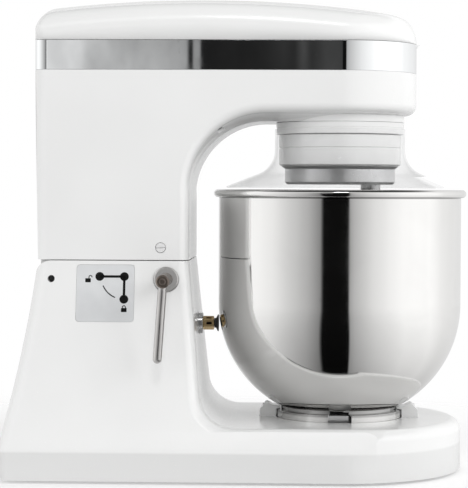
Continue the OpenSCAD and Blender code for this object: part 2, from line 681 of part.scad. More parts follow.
// Outer skin of the top cover, or its inner one when inset is the wall.
module cover_form(inset) {
    crown_c = [front_x + 10, crown_z - crown_r];
    r = cover_side_r - inset;
    half = head_half - inset;
    // middle of the cross-section's crown arc and of its side rounding, which touches that arc
    mid = crown_r - crown_cross_r;
    side = [mid + sqrt(pow(crown_cross_r - cover_side_r, 2) - pow(half - r, 2)), half - r];
    tilt = atan(side[1] / (side[0] - mid));
    intersection() {
        // plan, with the nose rounded over and the rear edge rounded
        union() {
            side_prism(-head_half, head_half) {
                translate([head_rear_x + inset, band_top - 30]) square([bowl_x - head_rear_x - inset, 30 + rear_round_z]);
                translate([head_rear_x + cover_rear_r, band_top - 30]) square([bowl_x - head_rear_x - cover_rear_r, 100]);
                translate([head_rear_x + cover_rear_r, band_top + rear_round_z]) circle(cover_rear_r - inset);
            }
            translate([bowl_x, 0, 0]) rotate_extrude() intersection() {
                translate([0, band_top - 30]) square([half, 100]);
                union() {
                    translate([0, band_top - 30]) square([half, 30]);
                    translate([head_half - cover_nose_r, band_top]) circle(cover_nose_r - inset);
                    translate([0, band_top - 30]) square([head_half - cover_nose_r, 100]);
                }
            }
        }
        linear_extrude(crown_z + 10) head_outline(inset);
        // barrel: the cross-section turned about an axis far below the head
        translate([crown_c[0], 0, crown_c[1]]) rotate([90, 0, 0]) rotate([0, 0, 78]) rotate_extrude(angle = 24, $fn = 720)
            polygon(concat(
                [[crown_r - 60, -half]],
                arc([side[0], -side[1]], r, -90, -tilt, 8),
                arc([mid, 0], crown_cross_r - inset, -0.93 * tilt, 0.93 * tilt, 16),
                arc(side, r, tilt, 90, 8),
                [[crown_r - 60, half]]
            ));
    }
}

module top_cover() color("white") difference() {
    intersection() {
        cover_form(0);
        translate([-300, -200, band_top]) cube([600, 400, 100]);
    }
    intersection() {
        cover_form(cover_t);
        translate([-300, -200, band_top - 1]) cube([600, 400, 100]);
    }
}

module chrome_band() color("silver") translate([0, 0, band_z]) linear_extrude(band_h) difference() {
    head_outline(0);
    head_outline(band_t);
}

module side_screws() color("silver") difference() {
    union() {
        along_y(side_screw_x, side_screw_z, 4.5, -head_half - 0.3, -head_half + 2.4);
        along_y(side_screw_x, side_screw_z, side_screw_r, -head_half + 2.3, quadrant_y[1] + 1);
    }
    translate([side_screw_x, -head_half - 0.3, side_screw_z]) cube([12, 1.8, 1.1], center = true);
}

module arch_screw() color("dimgray") at_arch_screws() {
    translate([0, 0, 1]) cylinder(r = 3.3, h = 3);
    translate([0, 0, 3.9]) cylinder(r = 1.7, h = 12);
}

module hinge_bushes() color("goldenrod") for (s = [-1, 1]) difference() {
    along_y(hinge_x, hinge_z, bush_r, s * lug_y - 6.5, s * lug_y + 6.5);
    along_y(hinge_x, hinge_z, hinge_r, -60, 60);
}

// Plate that hangs from the head; the clamp shaft passes through its arc-shaped slot.
module quadrant_plate() color("silver") side_prism(quadrant_y[0], quadrant_y[1]) difference() {
    union() {
        intersection() {
            difference() {
                translate([hinge_x, hinge_z]) circle(clamp_reach + 8.3, $fn = 180);
                translate([hinge_x, hinge_z]) circle(clamp_reach - 8.3, $fn = 180);
            }
            translate([hinge_x, hinge_z]) polygon([[0, 0], 200 * [cos(8), sin(8)], [200, -100], 200 * [cos(tilt_max + 6), -sin(tilt_max + 6)]]);
        }
        translate([side_screw_x - 10, hinge_z + 6]) square([22, side_screw_z - hinge_z + 6]);
    }
    for (a = [0, -tilt_max - 0.4]) translate([hinge_x, hinge_z] + clamp_reach * [cos(a + 0.2), sin(a + 0.2)]) circle(clamp_r + touch);
    intersection() {
        difference() {
            translate([hinge_x, hinge_z]) circle(clamp_reach + clamp_r + touch, $fn = 180);
            translate([hinge_x, hinge_z]) circle(clamp_reach - clamp_r - touch, $fn = 180);
        }
        translate([hinge_x, hinge_z]) polygon([[0, 0], [200, 0.7], 200 * [cos(tilt_max + 0.2), -sin(tilt_max + 0.2)]]);
    }
    translate([side_screw_x, side_screw_z]) circle(side_screw_r + run_fit);
}

// ---- motor and belt -------------------------------------------------------------

module motor_can() color("silver") translate([motor_x, 0, motor_bottom]) difference() {
    union() {
        cylinder(r = motor_r, h = motor_len);
        translate([0, 0, -6]) cylinder(r = 13, h = 7);
    }
    translate([0, 0, 4]) cylinder(r = motor_r - 9, h = motor_len - 8);
    translate([0, 0, -7]) cylinder(r = motor_shaft_r + run_fit, h = motor_len + 10);
    for (a = [45:90:315]) rotate([0, 0, a]) translate([motor_r - 10, 0, motor_len - 3.9]) cylinder(r = 2 + run_fit, h = 5);
    for (a = [0:30:330]) rotate([0, 0, a + 15]) translate([motor_r - 10, -2, 20]) cube([12, 4, 30]);
}

module motor_bracket() color("silver") translate([motor_x, 0, ledge_z]) difference() {
    linear_extrude(3) rounded(60, 2 * (head_half - wall) - 0.4, 4);
    translate([0, 0, -1]) cylinder(r = 9, h = 5);
    for (a = [45:90:315]) rotate([0, 0, a]) translate([motor_r - 10, 0, -1]) cylinder(r = 2 + run_fit, h = 5);
    for (x = [-1, 1], y = [-1, 1]) translate([22 * x, y * (head_half - wall - 3), -1]) cylinder(r = 1.5 + run_fit, h = 5);
}

module motor_screws() color("silver") translate([motor_x, 0, ledge_z + 3]) {
    for (a = [45:90:315]) rotate([0, 0, a]) translate([motor_r - 10, 0, 0]) {
        cylinder(r = 3.4, h = 2.4);
        translate([0, 0, -6.5]) cylinder(r = 2, h = 7);
    }
}

module motor_rotor() color("darkgray") translate([motor_x, 0, 0]) {
    translate([0, 0, motor_bottom - 5]) cylinder(r = motor_shaft_r, h = belt_z + belt_w / 2 + 4 - motor_bottom);
    translate([0, 0, motor_bottom + 16]) cylinder(r = motor_r - 10, h = motor_len - 34);
    translate([0, 0, motor_bottom + 6]) cylinder(r = 12, h = 9);
}

// A pulley with grooves for the belt's ribs, centred on the belt's middle plane.
module ribbed_pulley(r, bore) translate([0, 0, belt_z]) difference() {
    union() {
        cylinder(r = r - 1.2, h = belt_w + 3, center = true);
        for (i = [0:ribs]) translate([0, 0, (i - ribs / 2) * rib_pitch]) cylinder(r = r, h = 1.2, center = true);
        for (s = [-1, 1]) translate([0, 0, s * (pulley_half - 0.7)]) cylinder(r = r + 1.5, h = 1.4, center = true);
    }
    cylinder(r = bore, h = belt_w + 10, center = true);
}

module small_pulley() color("silver") translate([motor_x, 0, 0]) ribbed_pulley(small_pulley_r, motor_shaft_r + run_fit);

module large_pulley() color("darkgray") translate([bowl_x, 0, 0]) difference() {
    ribbed_pulley(big_pulley_r, main_r - 1 + run_fit);
    for (s = [-1, 1]) translate([0, 0, belt_z + s * (belt_w / 2 + 3.2)]) difference() {
        cylinder(r = big_pulley_r - 6, h = 8, center = true);
        cylinder(r = 15, h = 9, center = true);
    }
    for (a = [0:60:300]) rotate([0, 0, a]) translate([(big_pulley_r + 10) / 2, 0, belt_z]) cylinder(r = 7, h = 40, center = true);
}

// Loop round both pulleys, its inner face grown outwards by d.
module belt_loop(d) {
    a = acos((big_pulley_r - small_pulley_r) / (bowl_x - motor_x));
    polygon(concat(
        arc([bowl_x, 0], big_pulley_r + d, a - 180, 180 - a, 48),
        arc([motor_x, 0], small_pulley_r + d, 180 - a, 180 + a, 24)
    ));
}

module drive_belt() color("black") {
    translate([0, 0, belt_z - belt_w / 2 + 0.3]) linear_extrude(belt_w - 0.6) difference() {
        belt_loop(touch + belt_t);
        belt_loop(touch);
    }
    for (i = [0:ribs - 1]) translate([0, 0, belt_z + (i - ribs / 2 + 0.5) * rib_pitch - 0.5]) linear_extrude(1) difference() {
        belt_loop(touch + 0.1);
        belt_loop(touch - 0.9);
    }
}

// ---- planetary drive ------------------------------------------------------------

// Involute tooth flanks: roll angle at radius r, and the tooth's half angle there.
function involute(rb, r) = let (t = sqrt(max(r * r / (rb * rb) - 1, 0))) t * 180 / PI - atan(t);
function half_angle(z, r, play) = let (rp = gear_m * z / 2, rb = rp * cos(20))
    90 / z - play * 90 / (PI * rp) + involute(rb, rp) - involute(rb, max(r, rb));

// Outline of a spur gear; a positive play thins its teeth and a negative one widens them.
module gear_outline(z, root, tip, play) {
    radii = [for (i = [0:4]) root + (tip - root) * i / 4];
    polygon([for (k = [0:z - 1], s = [-1, 1], i = [0:4])
        let (r = radii[s < 0 ? i : 4 - i], a = 360 * k / z + s * half_angle(z, r, play)) r * [cos(a), sin(a)]]);
}

module gearbox_neck() color("whitesmoke") translate([bowl_x, 0, 0]) difference() {
    union() {
        translate([0, 0, collar_z]) cylinder(r1 = collar_r, r2 = collar_r + collar_draft, h = collar_h);
        translate([0, 0, arm_z - 0.1]) cylinder(r = neck_r, h = wall + 6);
        translate([0, 0, arm_z]) cylinder(r = bearing_r + 5, h = neck_top - arm_z);
    }
    translate([0, 0, collar_z - 1]) cylinder(r = ring_out_r, h = gear_z + gear_w - collar_z + 1);
    translate([0, 0, collar_z - 1]) cylinder(r = main_r + 2, h = 80);
    translate([0, 0, gear_z]) cylinder(r = bearing_r, h = lower_bearing_z + bearing_h - gear_z);
    translate([0, 0, neck_top - bearing_h]) cylinder(r = bearing_r, h = 20);
    translate([-bowl_x, 0, 0]) at_neck_screws() translate([0, 0, -wall - 8]) cylinder(r = 2 + run_fit, h = 20);
}

module neck_screws() color("silver") at_neck_screws() {
    difference() {
        cylinder(r = 3.5, h = 4);
        translate([0, 0, 1.6]) cylinder(r = 1.7, h = 4, $fn = 6);
    }
    translate([0, 0, -wall - 7.5]) cylinder(r = 2, h = wall + 7.6);
}

module ring_gear() color("silver") translate([bowl_x, 0, gear_z]) linear_extrude(gear_w) difference() {
    circle(ring_out_r);
    gear_outline(ring_teeth, ring_pitch_r - 0.85 * gear_m, ring_pitch_r + 1.25 * gear_m, -backlash / 2);
}

module main_bearings() color("silver") translate([bowl_x, 0, 0]) for (z = [lower_bearing_z, neck_top - bearing_h]) translate([0, 0, z]) difference() {
    cylinder(r = bearing_r, h = bearing_h);
    translate([0, 0, -1]) cylinder(r = main_r + run_fit, h = bearing_h + 2);
    for (e = [-0.5, bearing_h - 0.5]) translate([0, 0, e]) difference() {
        cylinder(r = bearing_r - 3, h = 1);
        cylinder(r = main_r + 2.5, h = 3, center = true);
    }
}

module main_shaft() color("silver") translate([bowl_x, 0, 0]) {
    translate([0, 0, drum_top - 14]) cylinder(r = main_r + 3, h = 13);
    translate([0, 0, drum_top - 14]) cylinder(r = main_r, h = belt_z - pulley_half - drum_top + 14);
    translate([0, 0, belt_z - pulley_half - 0.1]) cylinder(r = main_r - 1, h = 2 * pulley_half + 7);
}

module pulley_nut() color("silver") translate([bowl_x, 0, belt_z + pulley_half]) difference() {
    cylinder(r = 12, h = 6, $fn = 6);
    translate([0, 0, -1]) cylinder(r = main_r - 1 + run_fit, h = 9);
}

module planetary_drum() color("whitesmoke") translate([bowl_x, 0, 0]) difference() {
    union() {
        translate([0, 0, drum_z + 1]) cylinder(r1 = drum_r - 0.5, r2 = drum_r, h = drum_h - 1);
        translate([0, 0, drum_z]) cylinder(r1 = drum_r - 1.5, r2 = drum_r - 0.5, h = 1);
    }
    difference() {
        translate([0, 0, drum_z - 1]) cylinder(r = drum_r - 4, h = drum_h - 6);
        cylinder(r = main_r + 8, h = drum_top);
        translate([offset_r, 0, 0]) cylinder(r = agitator_r + 6.5, h = drum_top);
        for (a = [60:60:300]) rotate([0, 0, a]) translate([10, -1.5, drum_z + 8]) cube([60, 3, 40]);
    }
    // seam line, bore of the shaft's flange, bore of the upper bush
    translate([0, 0, drum_top - 11.4]) difference() {
        cylinder(r = drum_r + 2, h = 0.6);
        cylinder(r = drum_r - 0.7, h = 0.6);
    }
    translate([0, 0, drum_z - 1]) cylinder(r = main_r + 3 + run_fit, h = drum_h);
    translate([0, 0, drum_z - 1]) cylinder(r = main_r + run_fit, h = drum_h + 2);
    translate([offset_r, 0, drum_z - 1]) cylinder(r = agitator_r + 3, h = drum_h + 2);
}

module lower_drum() color("gray") translate([bowl_x, 0, 0]) difference() {
    union() {
        translate([0, 0, drum_z - 0.1]) cylinder(r = drum_r - 4 - run_fit, h = 4);
        translate([0, 0, drum_z - 3]) cylinder(r1 = lower_drum_r + 1, r2 = drum_r - 2, h = 3);
        translate([0, 0, lower_drum_z + 2]) cylinder(r = lower_drum_r, h = lower_drum_h - 2);
        translate([0, 0, lower_drum_z]) cylinder(r1 = lower_drum_r - 2, r2 = lower_drum_r, h = 2);
    }
    difference() {
        translate([0, 0, lower_drum_z + 4]) cylinder(r = lower_drum_r - 4, h = lower_drum_h + 4);
        translate([offset_r, 0, 0]) cylinder(r = agitator_r + 6.5, h = 400);
    }
    translate([0, 0, drum_z]) cylinder(r = main_r + 8.5, h = 6);
    translate([offset_r, 0, drum_z]) cylinder(r = agitator_r + 7, h = 6);
    translate([offset_r, 0, lower_drum_z - 1]) cylinder(r = agitator_r + 3, h = 60);
}

module agitator_bushes() color("goldenrod") translate([bowl_x + offset_r, 0, 0]) {
    for (z = [lower_drum_z, drum_top - 12]) translate([0, 0, z]) difference() {
        cylinder(r = agitator_r + 3 - 0.02, h = 12);
        translate([0, 0, -1]) cylinder(r = agitator_r + run_fit, h = 14);
    }
}

module agitator_shaft() color("silver") translate([bowl_x + offset_r, 0, 0]) difference() {
    union() {
        translate([0, 0, shaft_end]) cylinder(r = agitator_r, h = gear_z - shaft_end);
        translate([0, 0, gear_z - 0.1]) cylinder(r = agitator_r - 1, h = gear_w - 0.5);
        translate([0, 0, lower_drum_z - 5]) cylinder(r = agitator_r + 2.5, h = 4.5);
    }
    translate([-20, 0, tool_pin_z]) rotate([0, 90, 0]) cylinder(r = tool_pin_r + run_fit, h = 40);
}

module planet_pinion() color("silver") translate([bowl_x + offset_r, 0, gear_z]) difference() {
    linear_extrude(gear_w - 0.6) gear_outline(pinion_teeth, pinion_r - 1.2 * gear_m, pinion_r + 0.85 * gear_m, backlash / 2);
    translate([0, 0, -1]) cylinder(r = agitator_r - 1 + run_fit, h = gear_w + 2);
}

module tool_pin() color("silver") translate([bowl_x + offset_r - 12, 0, tool_pin_z]) rotate([0, 90, 0]) cylinder(r = tool_pin_r, h = 24);

// ---- flat beater ----------------------------------------------------------------

// Outline that follows the bowl's rounded wall, grown inwards by inset; drawn in X and Z.
module beater_outline(inset) {
    round_c = bowl_round_x - offset_r - 5;
    reach = bowl_round_r - bowl_t - inset;
    intersection() {
        translate([round_c, bowl_round_z]) circle(reach, $fn = 180);
        translate([-round_c, bowl_round_z]) circle(reach, $fn = 180);
        translate([-beater_half + inset, beater_z + inset]) square([2 * (beater_half - inset), beater_h - 2 * inset]);
        translate([0, beater_top - beater_half - 12]) union() {
            circle(beater_half + 12 - inset);
            translate([-100, -200]) square(200);
        }
    }
}

module flat_beater() color("lightgray") translate([bowl_x + offset_r, 0, 0]) difference() {
    union() {
        side_prism(-beater_t / 2, beater_t / 2) {
            difference() {
                beater_outline(0);
                beater_outline(bar_w);
            }
            intersection() {
                beater_outline(0);
                union() {
                    translate([-bar_w / 2, beater_z]) square([bar_w, beater_h]);
                    for (s = [-1, 1], i = [0, 1, 2]) translate([0, beater_z + 18 + 31 * i]) rotate(s > 0 ? 32 : 148)
                        translate([0, -bar_w / 2]) square([120, bar_w - 1]);
                }
            }
        }
        translate([0, 0, beater_top - 14]) cylinder(r1 = 7, r2 = agitator_r + 4, h = 14.1);
        translate([0, 0, beater_top]) cylinder(r = agitator_r + 4, h = tool_top - beater_top);
    }
    translate([0, 0, shaft_end - 0.5]) cylinder(r = agitator_r + run_fit, h = 80);
    // bayonet slots of the cross pin
    for (a = [0, 180]) rotate([0, 0, a]) {
        translate([0, 0, tool_pin_z - tool_pin_r - run_fit]) rotate([0, 0, -20]) rotate_extrude(angle = 64)
            translate([agitator_r - 1, 0]) square([20, 2 * (tool_pin_r + run_fit)]);
        rotate([0, 0, 30]) translate([agitator_r - 1, -tool_pin_r - 0.2, tool_pin_z]) cube([20, 2 * tool_pin_r + 0.4, 30]);
    }
}

// ---- splash guard ---------------------------------------------------------------

// Middle line of the guard's wall: neck, bell curve and brim.
collar_draft = 0.6;                     // the collar widens by this to its top
guard_lap = 5;                          // height of the guard's neck on the collar
guard_neck_r = collar_r + collar_draft * guard_lap / collar_h + run_fit + guard_t / 2;
function guard_line() = concat(
    [[guard_neck_r, collar_z + guard_lap]],
    arc([guard_neck_r + 24, guard_z + 34.5], 24, 180, 250, 14),
    [[guard_r - guard_t / 2, guard_z + guard_t / 2]]
);

module splash_guard() color([0.9, 0.95, 1, 0.4]) translate([bowl_x, 0, 0]) {
    line = guard_line();
    n = len(line) - 1;
    side = [for (i = [0:n]) let (d = line[min(i + 1, n)] - line[max(i - 1, 0)]) [-d[1], d[0]] / norm(d) * guard_t / 2];
    difference() {
        rotate_extrude() polygon(concat([for (i = [0:n]) line[i] + side[i]], [for (i = [n:-1:0]) line[i] - side[i]]));
        // filling opening at the front
        translate([0, 0, guard_z - 5]) linear_extrude(16) difference() {
            polygon([[0, 0], 200 * [cos(28), -sin(28)], 200 * [cos(28), sin(28)]]);
            circle(guard_neck_r + 18);
        }
    }
}

// ---- clamp ----------------------------------------------------------------------

module clamp_shaft() color("dimgray") difference() {
    union() {
        along_y(clamp_x, hinge_z, hub_r, -foot_half, flange_y - touch);
        along_y(clamp_x, hinge_z, clamp_r, flange_y - touch - 0.1, quadrant_y[1] + 9);
        along_y(clamp_x, hinge_z, 6.5, quadrant_y[0] - touch - 3, quadrant_y[0] - touch);
    }
    translate([clamp_x, rod_y, hinge_z]) rotate([0, 4, 0]) translate([0, 0, -20]) cylinder(r = rod_r + run_fit, h = 22);
}

module clamp_lever() color("silver") translate([clamp_x, rod_y, hinge_z]) rotate([0, 4, 0]) {
    translate([0, 0, -rod_len]) cylinder(r = rod_r, h = rod_len + 2);
    translate([0, 0, -rod_len]) sphere(r = rod_r);
}

module clamp_washer() color("silver") difference() {
    along_y(clamp_x, hinge_z, 8, quadrant_y[1] + touch, quadrant_y[1] + touch + 1.6);
    along_y(clamp_x, hinge_z, clamp_r + run_fit, quadrant_y[1], quadrant_y[1] + 10);
}

module clamp_nut() color("silver") difference() {
    translate([clamp_x, quadrant_y[1] + touch + 7, hinge_z]) rotate([90, 0, 0]) cylinder(r = 7, h = 5.4, $fn = 6);
    along_y(clamp_x, hinge_z, clamp_r + run_fit, quadrant_y[1], quadrant_y[1] + 20);
}

// ---- bowl -----------------------------------------------------------------------

// Half section of the bowl's outer skin, or of its inner one when t is the steel's thickness.
module bowl_half(t) {
    intersection() {
        union() {
            translate([0, bowl_round_z]) square([bowl_r - t, rim_z - bowl_round_z + 1]);
            intersection() {
                translate([bowl_round_x, bowl_round_z]) circle(bowl_round_r - t, $fn = 180);
                translate([0, 0]) square([200, bowl_round_z + 1]);
            }
            translate([0, bowl_floor_z]) square([bowl_round_x + 10, bowl_round_z - bowl_floor_z]);
        }
        translate([0, bowl_floor_z + t]) square([200, rim_z]);
    }
}

module bowl() color("silver") translate([bowl_x, 0, 0]) rotate_extrude() {
    difference() {
        bowl_half(0);
        bowl_half(bowl_t);
        translate([0, rim_z - bead_r]) square([bowl_r + 10, 20]);
    }
    // rolled bead of the rim
    difference() {
        translate([bowl_r + bead_r - bowl_t, rim_z - bead_r]) circle(bead_r);
        translate([bowl_r + bead_r - bowl_t, rim_z - bead_r]) circle(bead_r - bowl_t);
    }
}

module bowl_ring() color("silver") translate([bowl_x, 0, 0]) difference() {
    rotate_extrude() {
        translate([ring_r - 1.6, seat_z + 0.1]) square([1.6, ring_h - 0.1]);
        translate([ring_r - 6, seat_z + ring_h - 1.4]) square([6, 1.4]);
        translate([ring_r - 6, seat_z + ring_h - 1.4]) square([1.6, bowl_floor_z - seat_z - ring_h + 1.4]);
    }
    for (s = [-1, 1]) translate([-claw_half - 1.5, s > 0 ? ring_r - 4.2 : -ring_r - 5, seat_z - 1]) cube([2 * claw_half + 3, 9.2, ring_h + 2]);
}

base_casting();
bottom_plate();
rubber_feet();
foot_screws();
bowl_claws();
claw_screws();
hinge_pin();
lock_bush();
label_plate();
stop_flange();
stop_body();
stop_screw();
stop_pad();
control_panel();
speed_potentiometer();
button_switches();
control_board();
board_posts();
interlock_switch();
cord_gland();
upper_housing();
top_cover();
chrome_band();
side_screws();
arch_screw();
hinge_bushes();
quadrant_plate();
motor_can();
motor_bracket();
motor_screws();
drive_belt();
gearbox_neck();
neck_screws();
ring_gear();
main_bearings();
splash_guard();
motor_rotor();
small_pulley();
main_shaft();
large_pulley();
pulley_nut();
planetary_drum();
lower_drum();
agitator_bushes();
agitator_shaft();
planet_pinion();
tool_pin();
flat_beater();
clamp_shaft();
clamp_lever();
clamp_washer();
clamp_nut();
bowl();
bowl_ring();
speed_knob();
start_button();
stop_button();
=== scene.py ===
"""Dressed model of a table-top planetary mixer, built round its construction frame.

+X is the bowl's side, -Y the side with the clamp lever and +Z is up. Sizes are millimetres
until a piece is finished, which scales its mesh to metres.
"""

import logging
import math
from dataclasses import dataclass, field
from enum import Enum
from typing import Callable, Iterable, Optional, Sequence, Union

import bmesh
import bpy
from mathutils import Matrix, Vector


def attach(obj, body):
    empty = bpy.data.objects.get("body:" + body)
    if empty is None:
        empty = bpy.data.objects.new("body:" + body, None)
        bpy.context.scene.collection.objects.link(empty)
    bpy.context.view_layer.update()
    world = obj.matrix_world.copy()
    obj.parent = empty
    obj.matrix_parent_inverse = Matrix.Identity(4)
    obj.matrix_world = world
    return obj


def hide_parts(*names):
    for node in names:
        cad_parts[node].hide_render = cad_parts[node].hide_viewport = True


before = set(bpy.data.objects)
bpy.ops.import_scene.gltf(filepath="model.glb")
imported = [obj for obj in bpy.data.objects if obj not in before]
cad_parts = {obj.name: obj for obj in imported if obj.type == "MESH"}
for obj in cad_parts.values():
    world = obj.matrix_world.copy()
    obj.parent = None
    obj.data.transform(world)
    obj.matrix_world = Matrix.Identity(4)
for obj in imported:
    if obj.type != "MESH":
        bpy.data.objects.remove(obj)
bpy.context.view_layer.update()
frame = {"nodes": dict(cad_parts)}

LOG = logging.getLogger("mixer")
METRE = 0.001
TURN = 2 * math.pi
UP = Vector((0, 0, 1))
STRAIGHT = 1.55  # half angle of a corner, radians, above which it is left as it is
SHARP = 0.9  # least turn of a casting's edge that is rolled over, radians
CARVE_WELD = 0.002  # gap that is closed after a cut
VIEW_SIZE = (468, 488)

Colour = tuple[float, float, float]
Point2 = tuple[float, float]
Corner = tuple[float, float, float]
Feed = Union["Signal", bpy.types.NodeSocket, float, Sequence[float]]


# ---- shader graphs ---------------------------------------------------------------


class Signal:
    """A number that varies over a surface; arithmetic on it adds Math nodes."""

    def __init__(self, graph: "Graph", socket: bpy.types.NodeSocket) -> None:
        """Wraps one output socket of a graph."""
        self.graph = graph
        self.socket = socket

    def _math(self, operation: str, *values: Feed) -> "Signal":
        """Adds a Math node.

        Args:
            operation: The node's operation.
            values: Its inputs, in order.

        Returns:
            The node's result.
        """
        node = self.graph.node("ShaderNodeMath", {"operation": operation}, dict(enumerate(values)))
        return Signal(self.graph, node.outputs[0])

    def __add__(self, other: Feed) -> "Signal":
        """self + other."""
        return self._math("ADD", self, other)

    def __radd__(self, other: Feed) -> "Signal":
        """other + self."""
        return self._math("ADD", other, self)

    def __sub__(self, other: Feed) -> "Signal":
        """self - other."""
        return self._math("SUBTRACT", self, other)

    def __rsub__(self, other: Feed) -> "Signal":
        """other - self."""
        return self._math("SUBTRACT", other, self)

    def __mul__(self, other: Feed) -> "Signal":
        """self * other."""
        return self._math("MULTIPLY", self, other)

    def __rmul__(self, other: Feed) -> "Signal":
        """other * self."""
        return self._math("MULTIPLY", other, self)

    def __truediv__(self, other: Feed) -> "Signal":
        """self / other."""
        return self._math("DIVIDE", self, other)

    def __rtruediv__(self, other: Feed) -> "Signal":
        """other / self."""
        return self._math("DIVIDE", other, self)

    def __pow__(self, other: Feed) -> "Signal":
        """self ** other."""
        return self._math("POWER", self, other)

    def angle(self, across: Feed) -> "Signal":
        """Angle of the point (across, self), radians."""
        return self._math("ARCTAN2", self, across)

    def above(self, low: float, high: float) -> "Signal":
        """Smooth step.

        Args:
            low: Value at which the result starts to leave 0.
            high: Value at which it reaches 1.

        Returns:
            The stepped signal.
        """
        node = self.graph.node(
            "ShaderNodeMapRange",
            {"interpolation_type": "SMOOTHSTEP"},
            {"Value": self, "From Min": low, "From Max": high},
        )
        return Signal(self.graph, node.outputs["Result"])


class Graph:
    """Node tree of one material, with its Principled shader."""

    def __init__(self, name: str) -> None:
        """Creates the material and its shader.

        Args:
            name: Name of the material.
        """
        self.material = bpy.data.materials.new(name)
        self.material.use_nodes = True
        self.tree = self.material.node_tree
        self.tree.nodes.clear()
        self.output = self.node("ShaderNodeOutputMaterial")
        self.shader = self.node("ShaderNodeBsdfPrincipled")
        self.tree.links.new(self.shader.outputs[0], self.output.inputs["Surface"])
        self.place = self.node("ShaderNodeTexCoord").outputs["Object"]

    def node(
        self, kind: str, settings: Optional[dict] = None, feeds: Optional[dict] = None
    ) -> bpy.types.Node:
        """Adds a node.

        Args:
            kind: Blender's type name.
            settings: Properties, set first; "stops" are a colour ramp's positions and colours.
            feeds: Socket name or index to a value, a socket or a signal.

        Returns:
            The new node.
        """
        node = self.tree.nodes.new(kind)
        for key, value in (settings or {}).items():
            if key == "stops":
                self._set_stops(node.color_ramp, value)
            else:
                setattr(node, key, value)
        for key, value in (feeds or {}).items():
            self.feed(node.inputs[key], value)
        return node

    @staticmethod
    def _set_stops(ramp: bpy.types.ColorRamp, stops: Sequence[tuple[float, Colour]]) -> None:
        """Gives a colour ramp its stops."""
        while len(ramp.elements) < len(stops):
            ramp.elements.new(0.5)
        for element, (position, colour) in zip(ramp.elements, stops):
            element.position = position
            element.color = (*colour, 1)

    def feed(self, socket: bpy.types.NodeSocket, value: Feed) -> None:
        """Links or sets a socket.

        Args:
            socket: The input.
            value: A constant, a socket or a signal.
        """
        if isinstance(value, Signal):
            self.tree.links.new(value.socket, socket)
        elif isinstance(value, bpy.types.NodeSocket):
            self.tree.links.new(value, socket)
        else:
            socket.default_value = value

    def noise(self, scale: float, detail: float = 3.0, stretch: Colour = (1, 1, 1)) -> Signal:
        """Noise over the piece.

        Args:
            scale: Features per metre.
            detail: Octaves.
            stretch: Scale along each axis.

        Returns:
            The noise, about 0 to 1.
        """
        place = self.node("ShaderNodeMapping", None, {"Vector": self.place, "Scale": stretch})
        noise = self.node(
            "ShaderNodeTexNoise", None, {"Vector": place.outputs[0], "Scale": scale, "Detail": detail}
        )
        return Signal(self, noise.outputs[0])

    def axis(self, index: int) -> Signal:
        """One coordinate of the surface point, in metres."""
        split = self.node("ShaderNodeSeparateXYZ", None, {"Vector": self.place})
        return Signal(self, split.outputs[index])

    def blend(self, share: Feed, low: Feed, high: Feed) -> bpy.types.NodeSocket:
        """Mixes two colours.

        Args:
            share: 0 for low, 1 for high.
            low: First colour.
            high: Second colour.

        Returns:
            The colour socket.
        """
        feeds = {0: share, 6: self._rgba(low), 7: self._rgba(high)}
        mix = self.node("ShaderNodeMix", {"data_type": "RGBA"}, feeds)
        return mix.outputs[2]

    @staticmethod
    def _rgba(value: Feed) -> Feed:
        """Adds an alpha to a plain colour."""
        return (*value, 1.0) if isinstance(value, tuple) and len(value) == 3 else value

    def bump(self, height: Feed, distance: float, strength: float = 1.0) -> None:
        """Raises the surface by a height signal.

        Args:
            height: The height, 0 to 1.
            distance: What a height of 1 stands for, in metres.
            strength: Strength of the bump.
        """
        feeds = {"Height": height, "Distance": distance, "Strength": strength}
        node = self.node("ShaderNodeBump", None, feeds)
        self.feed(self.shader.inputs["Normal"], node.outputs[0])

    def set(self, **values: Feed) -> None:
        """Feeds sockets of the Principled shader; an underscore stands for a space."""
        for key, value in values.items():
            self.feed(self.shader.inputs[key.replace("_", " ")], self._rgba(value))


class Grain(Enum):
    """Direction of the fine lines on worked metal."""

    NONE = (1, 1, 1)
    ALONG_X = (0.03, 1, 1)
    ALONG_Z = (1, 1, 0.03)
    LEVEL = (0.03, 0.03, 1)


@dataclass(frozen=True)
class Enamel:
    """Glossy stoved paint on a casting."""

    name: str
    colour: Colour
    rough: float = 0.24
    coat: float = 0.45
    peel: float = 0.00004
    specks: float = 0.012
    # Painted shade: share of the colour that is kept below the base's crease.
    painted_foot_shade: float = 1.0

    def material(self) -> bpy.types.Material:
        """Builds the paint: cloudy tone, orange-peel skin, fine dust in its gloss, and painted shade that
        darkens the foot.
        """
        g = Graph(self.name)
        cloud = g.noise(9, 2)
        dust = g.noise(900, 2).above(0.66, 0.76)
        shade = tuple(c * (1 - 2.2 * self.specks) for c in self.colour)
        colour = g.blend(cloud.above(0.35, 0.7), self.colour, shade)
        # Painted shade: the colour is darkened below the crease, standing in for the skirt lying in less
        # light than the sides above.
        if self.painted_foot_shade < 1:
            low = 1 - g.axis(2).above(0.0255, 0.0285)
            colour = g.blend(low, colour, tuple(c * self.painted_foot_shade for c in self.colour))
        g.set(Base_Color=colour)
        g.set(Roughness=self.rough + 0.05 * (g.noise(60) - 0.5) + 0.08 * dust)
        g.set(Coat_Weight=self.coat, Coat_Roughness=0.06, Specular_IOR_Level=0.5)
        g.bump(g.noise(420, 2) + 0.3 * g.noise(1500, 1), self.peel)
        return g.material


